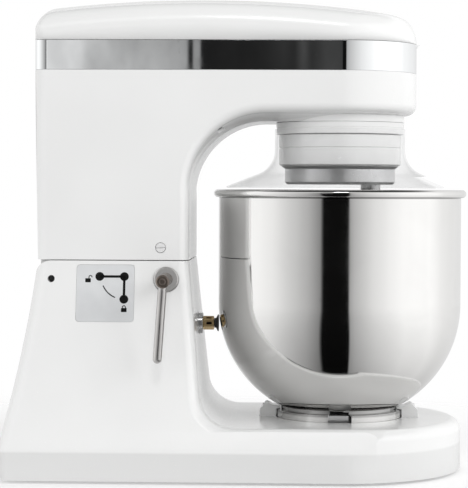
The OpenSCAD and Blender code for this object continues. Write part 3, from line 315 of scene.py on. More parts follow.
@dataclass(frozen=True)
class Metal:
    """Bare metal, from mirror polish to sawn stock."""

    name: str
    colour: Colour
    rough: float
    grain: Grain = Grain.NONE
    lines: float = 0.00002
    tarnish: float = 0.04
    grain_scale: float = 900
    painted_shade_bands: tuple[tuple[float, float, float], ...] = ()

    def material(self) -> bpy.types.Material:
        """Builds the metal: worked lines, hazy patches, thin scratches, and painted shade in dark level
        bands.
        """
        g = Graph(self.name)
        lines = g.noise(self.grain_scale, 2, self.grain.value)
        haze = g.noise(22, 4).above(0.45, 0.75)
        scratch = g.noise(160, 4, (1, 0.06, 0.5)).above(0.70, 0.74)
        dull = tuple(c * (1 - self.tarnish) for c in self.colour)
        colour = g.blend(haze, self.colour, dull)
        # Painted shade: dark level bands in the colour, at heights where the metal lies in shade and shows
        # dark reflections.
        for height, half, dark in self.painted_shade_bands:
            off = ((g.axis(2) - height * METRE) ** 2) ** 0.5
            painted_band = dark * (1 - off.above(0.5 * half * METRE, half * METRE))
            colour = g.blend(painted_band, colour, (0.02, 0.02, 0.02))
        g.set(Base_Color=colour, Metallic=1.0)
        g.set(Roughness=self.rough * (0.75 + 0.5 * lines) + 0.03 * haze + 0.05 * scratch)
        g.bump(lines + 0.4 * scratch, self.lines)
        return g.material


@dataclass(frozen=True)
class Moulding:
    """Moulded plastic or rubber."""

    name: str
    colour: Colour
    rough: float = 0.5
    grain: float = 0.00006
    grain_scale: float = 700
    coat: float = 0.0
    gloss: float = 0.5

    def material(self) -> bpy.types.Material:
        """Builds the moulding: fine skin grain and slightly uneven gloss."""
        g = Graph(self.name)
        skin = g.noise(self.grain_scale, 3)
        cloud = g.noise(30, 3)
        pale = tuple(min(1.0, c * 1.12 + 0.004) for c in self.colour)
        g.set(Base_Color=g.blend(cloud.above(0.3, 0.75), self.colour, pale))
        g.set(Roughness=self.rough + 0.14 * (skin - 0.5) + 0.08 * (cloud - 0.5), Coat_Weight=self.coat)
        g.set(Specular_IOR_Level=self.gloss)
        g.bump(skin, self.grain)
        return g.material


@dataclass(frozen=True)
class ClearMoulding:
    """Clear injection-moulded plastic."""

    name: str
    colour: Colour = (0.78, 0.79, 0.795)
    rough: float = 0.05

    def material(self) -> bpy.types.Material:
        """Builds the clear plastic: flow ripples and a light haze of washing marks."""
        g = Graph(self.name)
        haze = g.noise(55, 4).above(0.5, 0.8)
        g.set(Base_Color=g.blend(haze, self.colour, tuple(c * 0.97 for c in self.colour)))
        edge = Signal(g, g.node("ShaderNodeLayerWeight", None, {"Blend": 0.5}).outputs["Facing"])
        g.set(Roughness=self.rough + 0.05 * haze, Alpha=0.05 + 0.03 * haze + 0.45 * edge**6, IOR=1.55)
        g.bump(g.noise(45, 2) + 0.15 * g.noise(300, 2), 0.00012)
        return g.material


# ---- forms -----------------------------------------------------------------------


class Axis(Enum):
    """Direction that an outline is extruded in, as the turn that lays Z along it."""

    X = Matrix(((0, 0, 1, 0), (1, 0, 0, 0), (0, 1, 0, 0), (0, 0, 0, 1)))
    Y = Matrix(((1, 0, 0, 0), (0, 0, 1, 0), (0, 1, 0, 0), (0, 0, 0, 1)))
    Z = Matrix.Identity(4)


def stand(name: str, data: bpy.types.ID) -> bpy.types.Object:
    """Adds an object to the scene."""
    thing = bpy.data.objects.new(name, data)
    bpy.context.scene.collection.objects.link(thing)
    return thing


def arc(centre: Point2, radius: float, start: float, end: float, steps: int) -> list[Point2]:
    """Points on an arc.

    Args:
        centre: Centre of the arc.
        radius: Its radius.
        start: First angle, degrees.
        end: Last angle, degrees.
        steps: Number of chords.

    Returns:
        steps + 1 points.
    """
    angles = [math.radians(start + (end - start) * i / steps) for i in range(steps + 1)]
    return [(centre[0] + radius * math.cos(a), centre[1] + radius * math.sin(a)) for a in angles]


def circle(centre: Point2, radius: float, steps: int = 48) -> list[Point2]:
    """Round outline."""
    return arc(centre, radius, 0, 360, steps)[:-1]


def box(left: float, right: float, low: float, high: float) -> list[Point2]:
    """Rectangle between two values of each coordinate."""
    return [(left, low), (right, low), (right, high), (left, high)]


def filleted(corners: Sequence[Corner], steps: int = 5) -> list[Point2]:
    """Polygon with a radius at each corner; a corner between two nearly straight lines is left.

    Args:
        corners: First coordinate, second coordinate and radius of each corner.
        steps: Chords of each rounding.

    Returns:
        The rounded outline.
    """
    points: list[Point2] = []
    count = len(corners)
    for i, (x, y, radius) in enumerate(corners):
        here = Vector((x, y))
        if radius <= 0:
            points.append((x, y))
            continue
        back = (Vector(corners[i - 1][:2]) - here).normalized()
        ahead = (Vector(corners[(i + 1) % count][:2]) - here).normalized()
        half = back.angle(ahead) / 2
        if half > STRAIGHT:
            points.append((x, y))
            continue
        centre = here + (back + ahead).normalized() * radius / math.sin(half)
        start = here + back * radius / math.tan(half) - centre
        end = here + ahead * radius / math.tan(half) - centre
        for k in range(steps + 1):
            points.append(tuple(centre + start.slerp(end, k / steps).normalized() * radius))
    return points


class Form:
    """A shape under construction, in millimetres."""

    def __init__(self, mesh: Optional[bpy.types.Mesh] = None) -> None:
        """Starts empty, or from a mesh."""
        self.bm = bmesh.new()
        if mesh is not None:
            self.bm.from_mesh(mesh)

    @classmethod
    def prism(cls, outline: Sequence[Point2], low: float, high: float, axis: Axis = Axis.Z) -> "Form":
        """Extrudes an outline.

        Args:
            outline: Corners, in the two coordinates that the axis leaves, in the order X, Y, Z.
            low: Start along the axis.
            high: End along the axis.
            axis: Direction of the extrusion.

        Returns:
            The closed prism.
        """
        form = cls()
        face = form.bm.faces.new([form.bm.verts.new((a, b, low)) for a, b in outline])
        grown = bmesh.ops.extrude_face_region(form.bm, geom=[face])["geom"]
        top = [v for v in grown if isinstance(v, bmesh.types.BMVert)]
        bmesh.ops.translate(form.bm, verts=top, vec=(0, 0, high - low))
        return form.move(axis.value).outwards()

    @classmethod
    def turned(cls, profile: Sequence[Point2], steps: int = 160, closed: bool = True) -> "Form":
        """Turns a profile about Z.

        Args:
            profile: Radius and height of each point.
            steps: Steps round the axis.
            closed: Whether the profile closes on itself.

        Returns:
            The turned form.
        """
        form = cls()
        verts = [form.bm.verts.new((r, 0, z)) for r, z in profile]
        on_axis = profile[0][0] == 0 and profile[-1][0] == 0
        pairs = list(zip(verts, verts[1:]))
        if closed and not on_axis:
            pairs.append((verts[-1], verts[0]))
        edges = [form.bm.edges.new(pair) for pair in pairs]
        bmesh.ops.spin(
            form.bm,
            geom=verts + edges,
            cent=(0, 0, 0),
            axis=(0, 0, 1),
            dvec=(0, 0, 0),
            angle=TURN,
            steps=steps,
            use_merge=True,
        )
        return form.outwards()

    @classmethod
    def lathe(cls, corners: Sequence[Corner], steps: int = 64) -> "Form":
        """Turns a section with a radius at each corner about Z."""
        return cls.turned(filleted(corners), steps)

    @classmethod
    def rod(cls, radius: float, low: float, high: float, steps: int = 32) -> "Form":
        """Plain round bar along Z."""
        return cls.turned([(0, low), (radius, low), (radius, high), (0, high)], steps)

    def outwards(self, weld: float = 0.0005) -> "Form":
        """Merges doubles and points the faces outwards."""
        bmesh.ops.remove_doubles(self.bm, verts=self.bm.verts, dist=weld)
        bmesh.ops.dissolve_degenerate(self.bm, edges=self.bm.edges, dist=weld)
        bmesh.ops.recalc_face_normals(self.bm, faces=self.bm.faces)
        return self

    def move(self, place: Union[Matrix, Sequence[float]]) -> "Form":
        """Places the whole form.

        Args:
            place: A matrix, or a shift.

        Returns:
            The same form.
        """
        matrix = place if isinstance(place, Matrix) else Matrix.Translation(place)
        bmesh.ops.transform(self.bm, matrix=matrix, verts=self.bm.verts)
        return self

    def join(self, *others: "Form") -> "Form":
        """Adds other forms as loose shells.

        Args:
            others: Forms, which are used up.

        Returns:
            The same form.
        """
        for other in others:
            mesh = other.mesh("joined")
            self.bm.from_mesh(mesh)
            bpy.data.meshes.remove(mesh)
        return self

    def mesh(self, name: str) -> bpy.types.Mesh:
        """Writes the form to a mesh and frees it."""
        mesh = bpy.data.meshes.new(name)
        self.bm.to_mesh(mesh)
        self.bm.free()
        return mesh

    def metres(self, name: str) -> bpy.types.Mesh:
        """Writes the form to a mesh in metres and frees it."""
        bmesh.ops.scale(self.bm, vec=(METRE, METRE, METRE), verts=self.bm.verts)
        return self.mesh(name)

    def round_edges(
        self,
        chosen: Callable[[bmesh.types.BMEdge], bool],
        radius: float,
        segments: int = 6,
        clamp: bool = True,
    ) -> "Form":
        """Rounds chosen edges.

        Args:
            chosen: Tells whether an edge is rounded.
            radius: Radius of the rounding.
            segments: Facets across it.
            clamp: Whether the radius gives way where edges are short.

        Returns:
            The same form.
        """
        edges = [e for e in self.bm.edges if len(e.link_faces) == 2 and chosen(e)]
        bmesh.ops.bevel(
            self.bm,
            geom=edges,
            offset=radius,
            offset_type="OFFSET",
            affect="EDGES",
            segments=segments,
            profile=0.5,
            material=-1,
            clamp_overlap=clamp,
        )
        return self

    def break_edges(self, width: float = 0.3, angle: float = 40.0, segments: int = 2) -> "Form":
        """Rounds every edge sharper than an angle in degrees."""
        limit = math.radians(angle)
        return self.round_edges(lambda e: e.calc_face_angle(0) > limit, width, segments)

    def carve(self, cutters: Iterable["Form"], operation: str = "DIFFERENCE") -> "Form":
        """Cuts forms away, or keeps what is shared with them, or adds them.

        Args:
            cutters: The other forms, which are used up.
            operation: DIFFERENCE, INTERSECT or UNION.

        Returns:
            This form with its new mesh.
        """
        body = stand("carved", self.mesh("carved"))
        tools = []
        for cutter in cutters:
            tool = stand("cutter", cutter.mesh("cutter"))
            tools.append(tool)
            cut = body.modifiers.new("cut", "BOOLEAN")
            cut.operation = operation
            cut.solver = "EXACT"
            cut.object = tool
        graph = bpy.context.evaluated_depsgraph_get()
        shape = body.evaluated_get(graph).to_mesh()
        self.bm = bmesh.new()
        self.bm.from_mesh(shape)
        for thing in [body, *tools]:
            mesh = thing.data
            bpy.data.objects.remove(thing)
            bpy.data.meshes.remove(mesh)
        bmesh.ops.remove_doubles(self.bm, verts=self.bm.verts, dist=CARVE_WELD)
        bmesh.ops.dissolve_degenerate(self.bm, edges=self.bm.edges, dist=CARVE_WELD)
        return self


def sharp_angle(mesh: bpy.types.Mesh, degrees: float) -> None:
    """Shades a mesh smooth and marks its edges above an angle sharp."""
    bm = bmesh.new()
    bm.from_mesh(mesh)
    limit = math.radians(degrees)
    for face in bm.faces:
        face.smooth = True
    for edge in bm.edges:
        edge.smooth = edge.calc_face_angle(0) < limit
    bm.to_mesh(mesh)
    bm.free()


@dataclass
class Workshop:
    """Turns forms into finished pieces and gives carried-over nodes their finish."""

    nodes: dict
    finishes: dict = field(default_factory=dict)
    count: int = 0

    def finish(self, key: str) -> bpy.types.Material:
        """The material of a finish, made on first use."""
        if key not in self.finishes:
            self.finishes[key] = FINISHES[key].material()
        return self.finishes[key]

    def piece(
        self,
        form: Form,
        name: str,
        body: str,
        slot: str,
        finish: str,
        stands_for: Sequence[str] = (),
        smooth: float = 32.0,
        weighted: bool = True,
    ) -> bpy.types.Object:
        """Finishes a form as an object that rides on a body.

        Args:
            form: The form, which is used up.
            name: Name of the piece.
            body: Body that carries it.
            slot: Material slot of the record; not used.
            finish: Name of its finish.
            stands_for: CAD nodes that it replaces.
            smooth: Angle below which edges are shaded smooth, degrees.
            weighted: Whether the large faces set the shading.

        Returns:
            The new object.
        """
        mesh = form.metres(name)
        sharp_angle(mesh, smooth)
        thing = stand(name, mesh)
        mesh.materials.append(self.finish(finish))
        if weighted:
            shade = thing.modifiers.new("shade", "WEIGHTED_NORMAL")
            shade.keep_sharp = True
            shade.weight = 50
        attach(thing, body)
        if stands_for:
            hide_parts(*stands_for)
        self.count += 1
        LOG.info("%s: %d faces, %s", name, len(mesh.polygons), finish)
        return thing

    def keep(self, node: str, finish: str) -> None:
        """Gives a carried-over node its finish."""
        data = self.nodes[node].data
        if data.materials:
            data.materials[0] = self.finish(finish)
        else:
            data.materials.append(self.finish(finish))
        LOG.info("%s kept in %s", node, finish)


# ---- sizes shared by the sub-assemblies ------------------------------------------

BOWL_X = 91.4
SEAM_Z = 190.4
HEAD_HALF = 69.0
HEAD_REAR = -179.5
FRONT_X = -42.5
ARM_Z = 314.5
HINGE = (-163.6, 174.4)
CLAMP_X = -62.0
LUG_Y = 46.0
BAND_LOW = 358.5
BAND_TOP = 385.0
SEAT_Z = 44.4
RING_R = 56.95
RING_H = 9.5
TOOL_X = BOWL_X + 28.0
LABEL_PLACE = (-115.5, 161.9, -1)
PANEL_PLACE = (-100, 147.4, 1)
SIDE_SCREW = (CLAMP_X - 5.3, HINGE[1] + 27.6)
STOP_X = -38.4
STOP_AXIS = (0, 131.3)
GLAND_AXIS = (62, 60)
FLARE_HEIGHT = 163.4
FLARE_SIDE = 50.5
FLARE_REAR = 29.0


def flare(z: float) -> float:
    """Share of the base's flare that is reached at height z: 0 at the seam, 1 at the crease."""
    t = (SEAM_Z - z) / FLARE_HEIGHT
    return 0.65 * t + 0.35 * t * abs(t)


def side_y(z: float) -> float:
    """Half width of the base at height z."""
    return HEAD_HALF + FLARE_SIDE * flare(z)


def rear_at(z: float) -> float:
    """Rear edge of the base at height z."""
    return HEAD_REAR + 2.5 - FLARE_REAR * flare(z)


def side_place(x: float, z: float, side: int) -> Matrix:
    """Place on the base's flared side, local Z outwards.

    Args:
        x: Place along the machine.
        z: Height.
        side: -1 for the clamp's side, with local Y up; 1 for the panel's side, with local Y down.

    Returns:
        The place.
    """
    slope = math.atan((side_y(z - 1) - side_y(z + 1)) / 2)
    turn = Matrix.Rotation(-side * (math.pi / 2 - slope), 4, "X")
    return Matrix.Translation((x, side * side_y(z), z)) @ turn


def rounded_box(w: float, h: float, r: float, steps: int = 6) -> list[Point2]:
    """Rounded rectangle about the origin."""
    a, b = w / 2, h / 2
    return filleted([(a, b, r), (-a, b, r), (-a, -b, r), (a, -b, r)], steps=steps)


def head_outline(inset: float, nose_steps: int = 72) -> list[Point2]:
    """Plan of the head, grown inwards.

    Args:
        inset: Distance that it is drawn in.
        nose_steps: Chords of the round nose.

    Returns:
        The outline, with a few stations on the straight sides.
    """
    corner = 10 - min(inset, 7)
    half, rear = HEAD_HALF - inset, HEAD_REAR + inset
    near = [(x, -half) for x in (rear + corner + 2, -60, BOWL_X - 3)]
    far = [(x, half) for x in (BOWL_X - 3, -60, rear + corner + 2)]
    nose = arc((BOWL_X, 0), half, -90, 90, nose_steps)
    far_corner = arc((rear + corner, half - corner), corner, 90, 180, 8)
    near_corner = arc((rear + corner, corner - half), corner, 180, 270, 8)
    middle = [(rear, half - corner - 2), (rear, corner + 2 - half)]
    return nose + far + far_corner + middle + near_corner + near


def along_y(x: float, z: float, radius: float, low: float, high: float, steps: int = 48) -> Form:
    """A round bar along Y."""
    return Form.prism(circle((x, z), radius, steps), low, high, Axis.Y)


# ---- base ------------------------------------------------------------------------


@dataclass
class BaseCasting:
    """Cast column and foot, with the seat of the bowl and everything let into it."""

    workshop: Workshop
    foot_half: float = 119.5
    rear: float = -206.0
    reach: float = 110.6
    bottom: float = 2.5
    crease: float = 27.0
    plate_top: float = 47.0
    hollow: float = 30.0
    edge: float = 10.0
    seat_r: float = 57.75
    first_facet: float = 33.0
    facet: float = 13.2

    def levels(self) -> list[float]:
        """Heights of the side's facets, from the foot up."""
        low = [self.bottom - 20, self.crease - 1.5, self.crease + 1.5]
        return low + [self.first_facet + self.facet * i for i in range(15)]

    def bent(self, value: Callable[[float], float], low: float) -> list[Point2]:
        """A half width or edge at each level above low, the same all the way below the crease."""
        return [(value(max(z, self.crease)), z) for z in self.levels() if z > low]

    def side_view(self) -> Form:
        """Prism of the outline seen from the side."""
        centre = (FRONT_X + 11 + self.hollow, self.plate_top + self.hollow)
        outline = (
            [(self.rear, self.bottom)]
            + self.bent(rear_at, self.bottom)
            + [(FRONT_X - 2.5, self.levels()[-1])]
            + arc(centre, self.hollow, 187, 270, 16)
            + [(230, self.plate_top), (230, self.bottom)]
        )
        return Form.prism(outline, -140, 140, Axis.Y)

    def front_view(self) -> Form:
        """Prism of the outline seen from the front."""
        half = self.bent(side_y, -100)
        return Form.prism(half + [(-y, z) for y, z in reversed(half)], -260, 260, Axis.X)

    def nose(self) -> Form:
        """Round end of the foot with its edge rolled over, and room for all that is behind it."""
        half, top = self.foot_half, self.plate_top + 0.02
        front = [(BOWL_X + self.reach * x, half * y) for x, y in arc((0, 0), 1, -90, 90, 72)]
        foot = Form.prism([(0, -half), *front, (0, half)], -40, top)
        foot.round_edges(lambda e: min(v.co.z for v in e.verts) > top - 0.01, self.edge, 8, False)
        room = Form.prism(box(-280, BOWL_X, -half - 8, half + 8), -40, 260)
        return foot.carve([room], "UNION")

    def shell(self) -> Form:
        """The casting's outside, edges rolled over but for the lower ones of sides and nose."""
        form = self.side_view().carve([self.front_view()], "INTERSECT")
        top = self.levels()[-1] - 1

        def is_edge(edge: bmesh.types.BMEdge) -> bool:
            """Whether the castings' edge radius runs along an edge."""
            high = min(v.co.z for v in edge.verts) > top
            low = max(v.co.z for v in edge.verts) < self.bottom + 0.1
            rear = max(v.co.x for v in edge.verts) < self.rear + 1
            return not high and (rear or not low) and edge.calc_face_angle_signed(0) > SHARP

        form.round_edges(is_edge, self.edge, 8, False)
        return form.carve([self.nose()], "INTERSECT")

    def cutters(self) -> list[Form]:
        """Everything that is cut from the shell."""
        x, z = HINGE
        label, panel = side_place(*LABEL_PLACE), side_place(*PANEL_PLACE)
        hinge_arc = arc((x, z), SEAM_Z - z, 90, 180, 12)
        corner = hinge_arc + [(x - 70, z), (x - 70, z + 80), (x, z + 80)]
        cuts = [
            Form.prism(box(-300, 300, SEAM_Z, 300), -200, 200, Axis.Y),
            Form.prism(corner, -200, 200, Axis.Y),
            Form.rod(self.seat_r, SEAT_Z, 80, 96).move((BOWL_X, 0, 0)),
            along_y(x, z, 3.15, -200, 0),
            along_y(x, z, 5, -65, 200),
            along_y(CLAMP_X, z, 8, -200, -49),
            along_y(CLAMP_X, z, 11.5, -200, 1 - side_y(z)),
            Form.prism(box(CLAMP_X - 22, CLAMP_X + 14, -53.5, -44.5), 170, 230),
            Form.prism(rounded_box(51.3, 51.3, 3), -0.8, 12).move(label),
            Form.prism(rounded_box(90.4, 62.4, 6), -1.5, 12).move(panel),
            Form.prism(rounded_box(76, 48, 4), -60, 10).move(panel),
            Form.prism(circle(STOP_AXIS, 5.05, 32), -72.5, -12, Axis.X),
            Form.prism(circle(STOP_AXIS, 10.5), STOP_X, -8, Axis.X),
            Form.prism(circle(GLAND_AXIS, 9), -230, -150, Axis.X),
            Form.prism(circle(GLAND_AXIS, 13.5), -230, rear_at(GLAND_AXIS[1]) + 2.5, Axis.X),
        ]
        for side in (-1, 1):
            claw = BOWL_X + side * 64.5
            cuts.append(Form.prism(box(claw - 7.7, claw + 7.7, -9.2, 9.2), SEAT_Z, 80))
            lug, y = box(x - 30, x + 13.5, z - 16, z + 44), side * LUG_Y
            cuts.append(Form.prism(lug, y - 8.5, y + 8.5, Axis.Y))
        return cuts

    def hollows(self) -> list[Form]:
        """Hollow of the column and recess for the bottom plate."""
        half, foot = side_y(HINGE[1]) - 12, self.foot_half - 28
        top = SEAM_Z - 6
        seen = [(self.rear + 20, -5), (HINGE[0] - 8, top), (FRONT_X - 8, top), (FRONT_X + 2, -5)]
        column = Form.prism(seen, -foot, foot, Axis.Y)
        across = Form.prism([(-foot, -5), (-half, top), (half, top), (foot, -5)], -260, 260, Axis.X)
        hollow = column.carve([across], "INTERSECT")
        plate_half = self.foot_half - 24
        plate = [(self.rear + 16, -plate_half), (BOWL_X, -plate_half)]
        plate += arc((BOWL_X, 0), plate_half, -88, 88, 48)
        plate += [(BOWL_X, plate_half), (self.rear + 16, plate_half)]
        return [hollow, Form.prism(plate, -10, self.bottom + 2.5)]

    def build(self) -> None:
        """Makes the casting."""
        form = self.shell().carve(self.cutters() + self.hollows())
        self.workshop.piece(
            form, "base_shell", "base", "white_enamel", "base enamel", ["base_casting"], 30
        )


# ---- head ------------------------------------------------------------------------


@dataclass
class UpperHousing:
    """Cast housing of the head: column, arch and arm, with its hinge lugs."""

    workshop: Workshop
    low: float = 191.2
    arch_r: float = 67.0
    edge: float = 9.0
    wall: float = 6.0
    crown: float = 6.5
    flat_half: float = 46.0
    slope_half: float = 59.7
    arch_screw_angle: float = 124.0

    @property
    def arch_centre(self) -> Point2:
        """Centre of the arch between column and arm."""
        return (FRONT_X + self.arch_r, ARM_Z - self.arch_r)

    def side_view(self, inset: float, low: float, top: float, steps: int, lift: float = 0) -> Form:
        """Prism of the arched outline seen from the side, grown inwards.

        Args:
            inset: Distance that it is drawn in.
            low: Height of its lower end.
            top: Height of its upper end.
            steps: Chords of the arch.
            lift: How far the arm's underside is raised.

        Returns:
            The prism.
        """
        x, z = self.arch_centre
        outline = [(HEAD_REAR + inset + 3.5, low), (FRONT_X - inset, low)]
        outline += arc((x, z), self.arch_r + inset + lift, 180, 90, steps)
        under = ARM_Z + inset + lift
        nose = ARM_Z + inset + self.crown
        outline += [(BOWL_X, under)] + ([(BOWL_X, nose)] if lift < self.crown else [])
        outline += [(240, nose), (240, top), (HEAD_REAR + inset, top), (HEAD_REAR + inset, BAND_LOW)]
        return Form.prism(outline, -100, 100, Axis.Y)

    def crowned(self, form: Form) -> Form:
        """Raises the arm's underside towards its two edges, fading out down the arch."""
        for y in (-self.slope_half, -self.flat_half, self.flat_half, self.slope_half):
            geom = form.bm.verts[:] + form.bm.edges[:] + form.bm.faces[:]
            bmesh.ops.bisect_plane(form.bm, geom=geom, plane_co=(0, y, 0), plane_no=(0, 1, 0))
        x, z = self.arch_centre
        for vert in form.bm.verts:
            ahead, high = vert.co.x - x, vert.co.z - z
            under = ahead > 0.1 and abs(high - self.arch_r) < 0.1
            arched = ahead <= 0.1 and high > 0 and abs(math.hypot(ahead, high) - self.arch_r) < 0.5
            if abs(vert.co.y) > self.slope_half - 0.1 and (under or arched):
                share = self.crown * high / self.arch_r**2
                rise = (share * ahead, 0, share * high) if arched else (0, 0, self.crown)
                vert.co += Vector(rise)
        return form.outwards()

    def place_at_arch_screw(self, side: int) -> Matrix:
        """Place on the arch for a screw, local Z along the screw into the arm."""
        angle = math.radians(self.arch_screw_angle)
        x, z = self.arch_centre
        lift = self.crown * (HEAD_HALF - 13 - self.flat_half) / (self.slope_half - self.flat_half)
        r = self.arch_r + lift * math.sin(angle)
        spot = (x + r * math.cos(angle), side * (HEAD_HALF - 13), z + r * math.sin(angle))
        return Matrix.Translation(spot) @ Matrix.Rotation(math.pi / 2 - angle, 4, "Y")

    def hollow(self) -> Form:
        """Space inside the walls."""
        inner = self.side_view(self.wall, self.low + self.wall, BAND_TOP + 5, 24, self.crown)
        return inner.carve([Form.prism(head_outline(self.wall, 40), 150, 500)], "INTERSECT")

    def shell(self) -> Form:
        """The housing's outside, lower edges rolled over."""
        form = self.crowned(self.side_view(0, self.low, BAND_TOP, 64))
        form = form.carve([Form.prism(head_outline(0), 150, 500)], "INTERSECT")
        bmesh.ops.dissolve_limit(
            form.bm,
            angle_limit=0.005,
            use_dissolve_boundaries=False,
            verts=form.bm.verts,
            edges=form.bm.edges,
        )
        low, limit = self.low + 0.01, BAND_TOP - 0.01

        def is_edge(edge: bmesh.types.BMEdge) -> bool:
            """Whether the castings' edge radius runs along an edge."""
            high = max(v.co.z for v in edge.verts)
            ahead = min(v.co.x for v in edge.verts) > FRONT_X - 1
            at_axis = all(abs(v.co.x - BOWL_X) < 0.01 for v in edge.verts)
            step = at_axis and high < ARM_Z + self.crown + 0.1
            return low <= high < limit and ahead and not step and edge.calc_face_angle_signed(0) > SHARP

        boss = Form.rod(58.2, ARM_Z - 0.03, ARM_Z + 8, 192)
        slope = (self.slope_half - self.flat_half) / self.crown
        flat, rim, bed, top = self.flat_half - 0.15, self.slope_half + 0.35, ARM_Z + 0.03, ARM_Z + 15
        belly = [(0, bed), (flat, bed), (rim, bed + (rim - flat) / slope), (rim, top), (0, top)]
        added = [part.move((BOWL_X, 0, 0)) for part in (Form.turned(belly, 160), boss)]
        return form.round_edges(is_edge, self.edge, 8, False).carve(added, "UNION")

    def cutters(self) -> list[Form]:
        """Recess of the bright band, slot of the quadrant, and holes of neck and screws."""
        ring = Form.prism(box(-300, 300, -200, 200), BAND_LOW, 400)
        core = Form.prism(head_outline(1.25), BAND_LOW - 5, 410)
        x, z = SIDE_SCREW
        cuts = [
            ring.carve([core]),
            along_y(x, z, 2.55, -80, -45),
            along_y(x, z, 4.7, -80, -HEAD_HALF + 2.4),
            Form.prism(circle((BOWL_X, 0), 30.05), ARM_Z - 2, ARM_Z + 20),
            Form.prism(box(x - 12, x + 16, -51.6, -46.4), self.low - 2, self.low + 8),
        ]
        for side in (-1, 1):
            screw = Form.turned([(0, -8), (3.7, -8), (3.7, 4.1), (1.8, 4.1), (1.8, 24), (0, 24)], 32)
            cuts.append(screw.move(self.place_at_arch_screw(side)))
        return cuts

    def lugs(self) -> list[Form]:
        """The two hinge lugs under the column."""
        x, z = HINGE
        made = []
        for side in (-1, 1):
            outline = arc((x, z), 12, 180, 360, 24) + [(x + 12, self.low + 3), (x - 12, self.low + 3)]
            y = side * LUG_Y
            lug = Form.prism(outline, y - 6, y + 6, Axis.Y).break_edges(0.8, 50, 3)
            made.append(lug.carve([along_y(x, z, 8, y - 9, y + 9)]))
        return made

    def build(self) -> None:
        """Makes the housing and its visible screws."""
        form = self.shell().carve([self.hollow()]).carve(self.cutters()).carve(self.lugs(), "UNION")
        self.workshop.piece(
            form, "head_shell", "head", "white_enamel", "white enamel", ["upper_housing"], 30
        )
        self.arch_screws()
        self.side_screw()

    def arch_screws(self) -> None:
        """Dark socket screws down in the arch's two holes."""
        section = [
            (0, 2.2, 0), (1.6, 2.2, 0), (1.6, 1, 0), (3.3, 1, 0.4), (3.3, 4, 0), (1.7, 4, 0), (1.7, 15.5, 0),
            (0, 15.5, 0),
        ]
        screws = Form()
        for side in (-1, 1):
            screws.join(Form.lathe(section, 32).move(self.place_at_arch_screw(side)))
        self.workshop.piece(screws, "arch_screw_heads", "head", "dark_steel", "dark steel", ["arch_screw"])

    def side_screw(self) -> None:
        """Slotted screw in the side of the head that holds the quadrant."""
        section = [
            (0, 0.2, 0), (4.3, 0.2, 0.5), (4.3, -2.4, 0), (2.5, -2.4, 0), (2.5, -23.5, 0), (0, -23.5, 0),
        ]
        screw = Form.lathe(section, 48)
        slot = Form.prism(box(-8, 8, -0.5, 0.5), -0.9, 2)
        spot = Matrix.Translation((SIDE_SCREW[0], -HEAD_HALF, SIDE_SCREW[1]))
        place = spot @ Matrix.Rotation(math.pi / 2, 4, "X")
        form = screw.carve([slot.move(Matrix.Rotation(0.06, 4, "Z"))]).move(place)
        self.workshop.piece(form, "side_screw_head", "head", "steel", "painted screw", ["side_screws"])


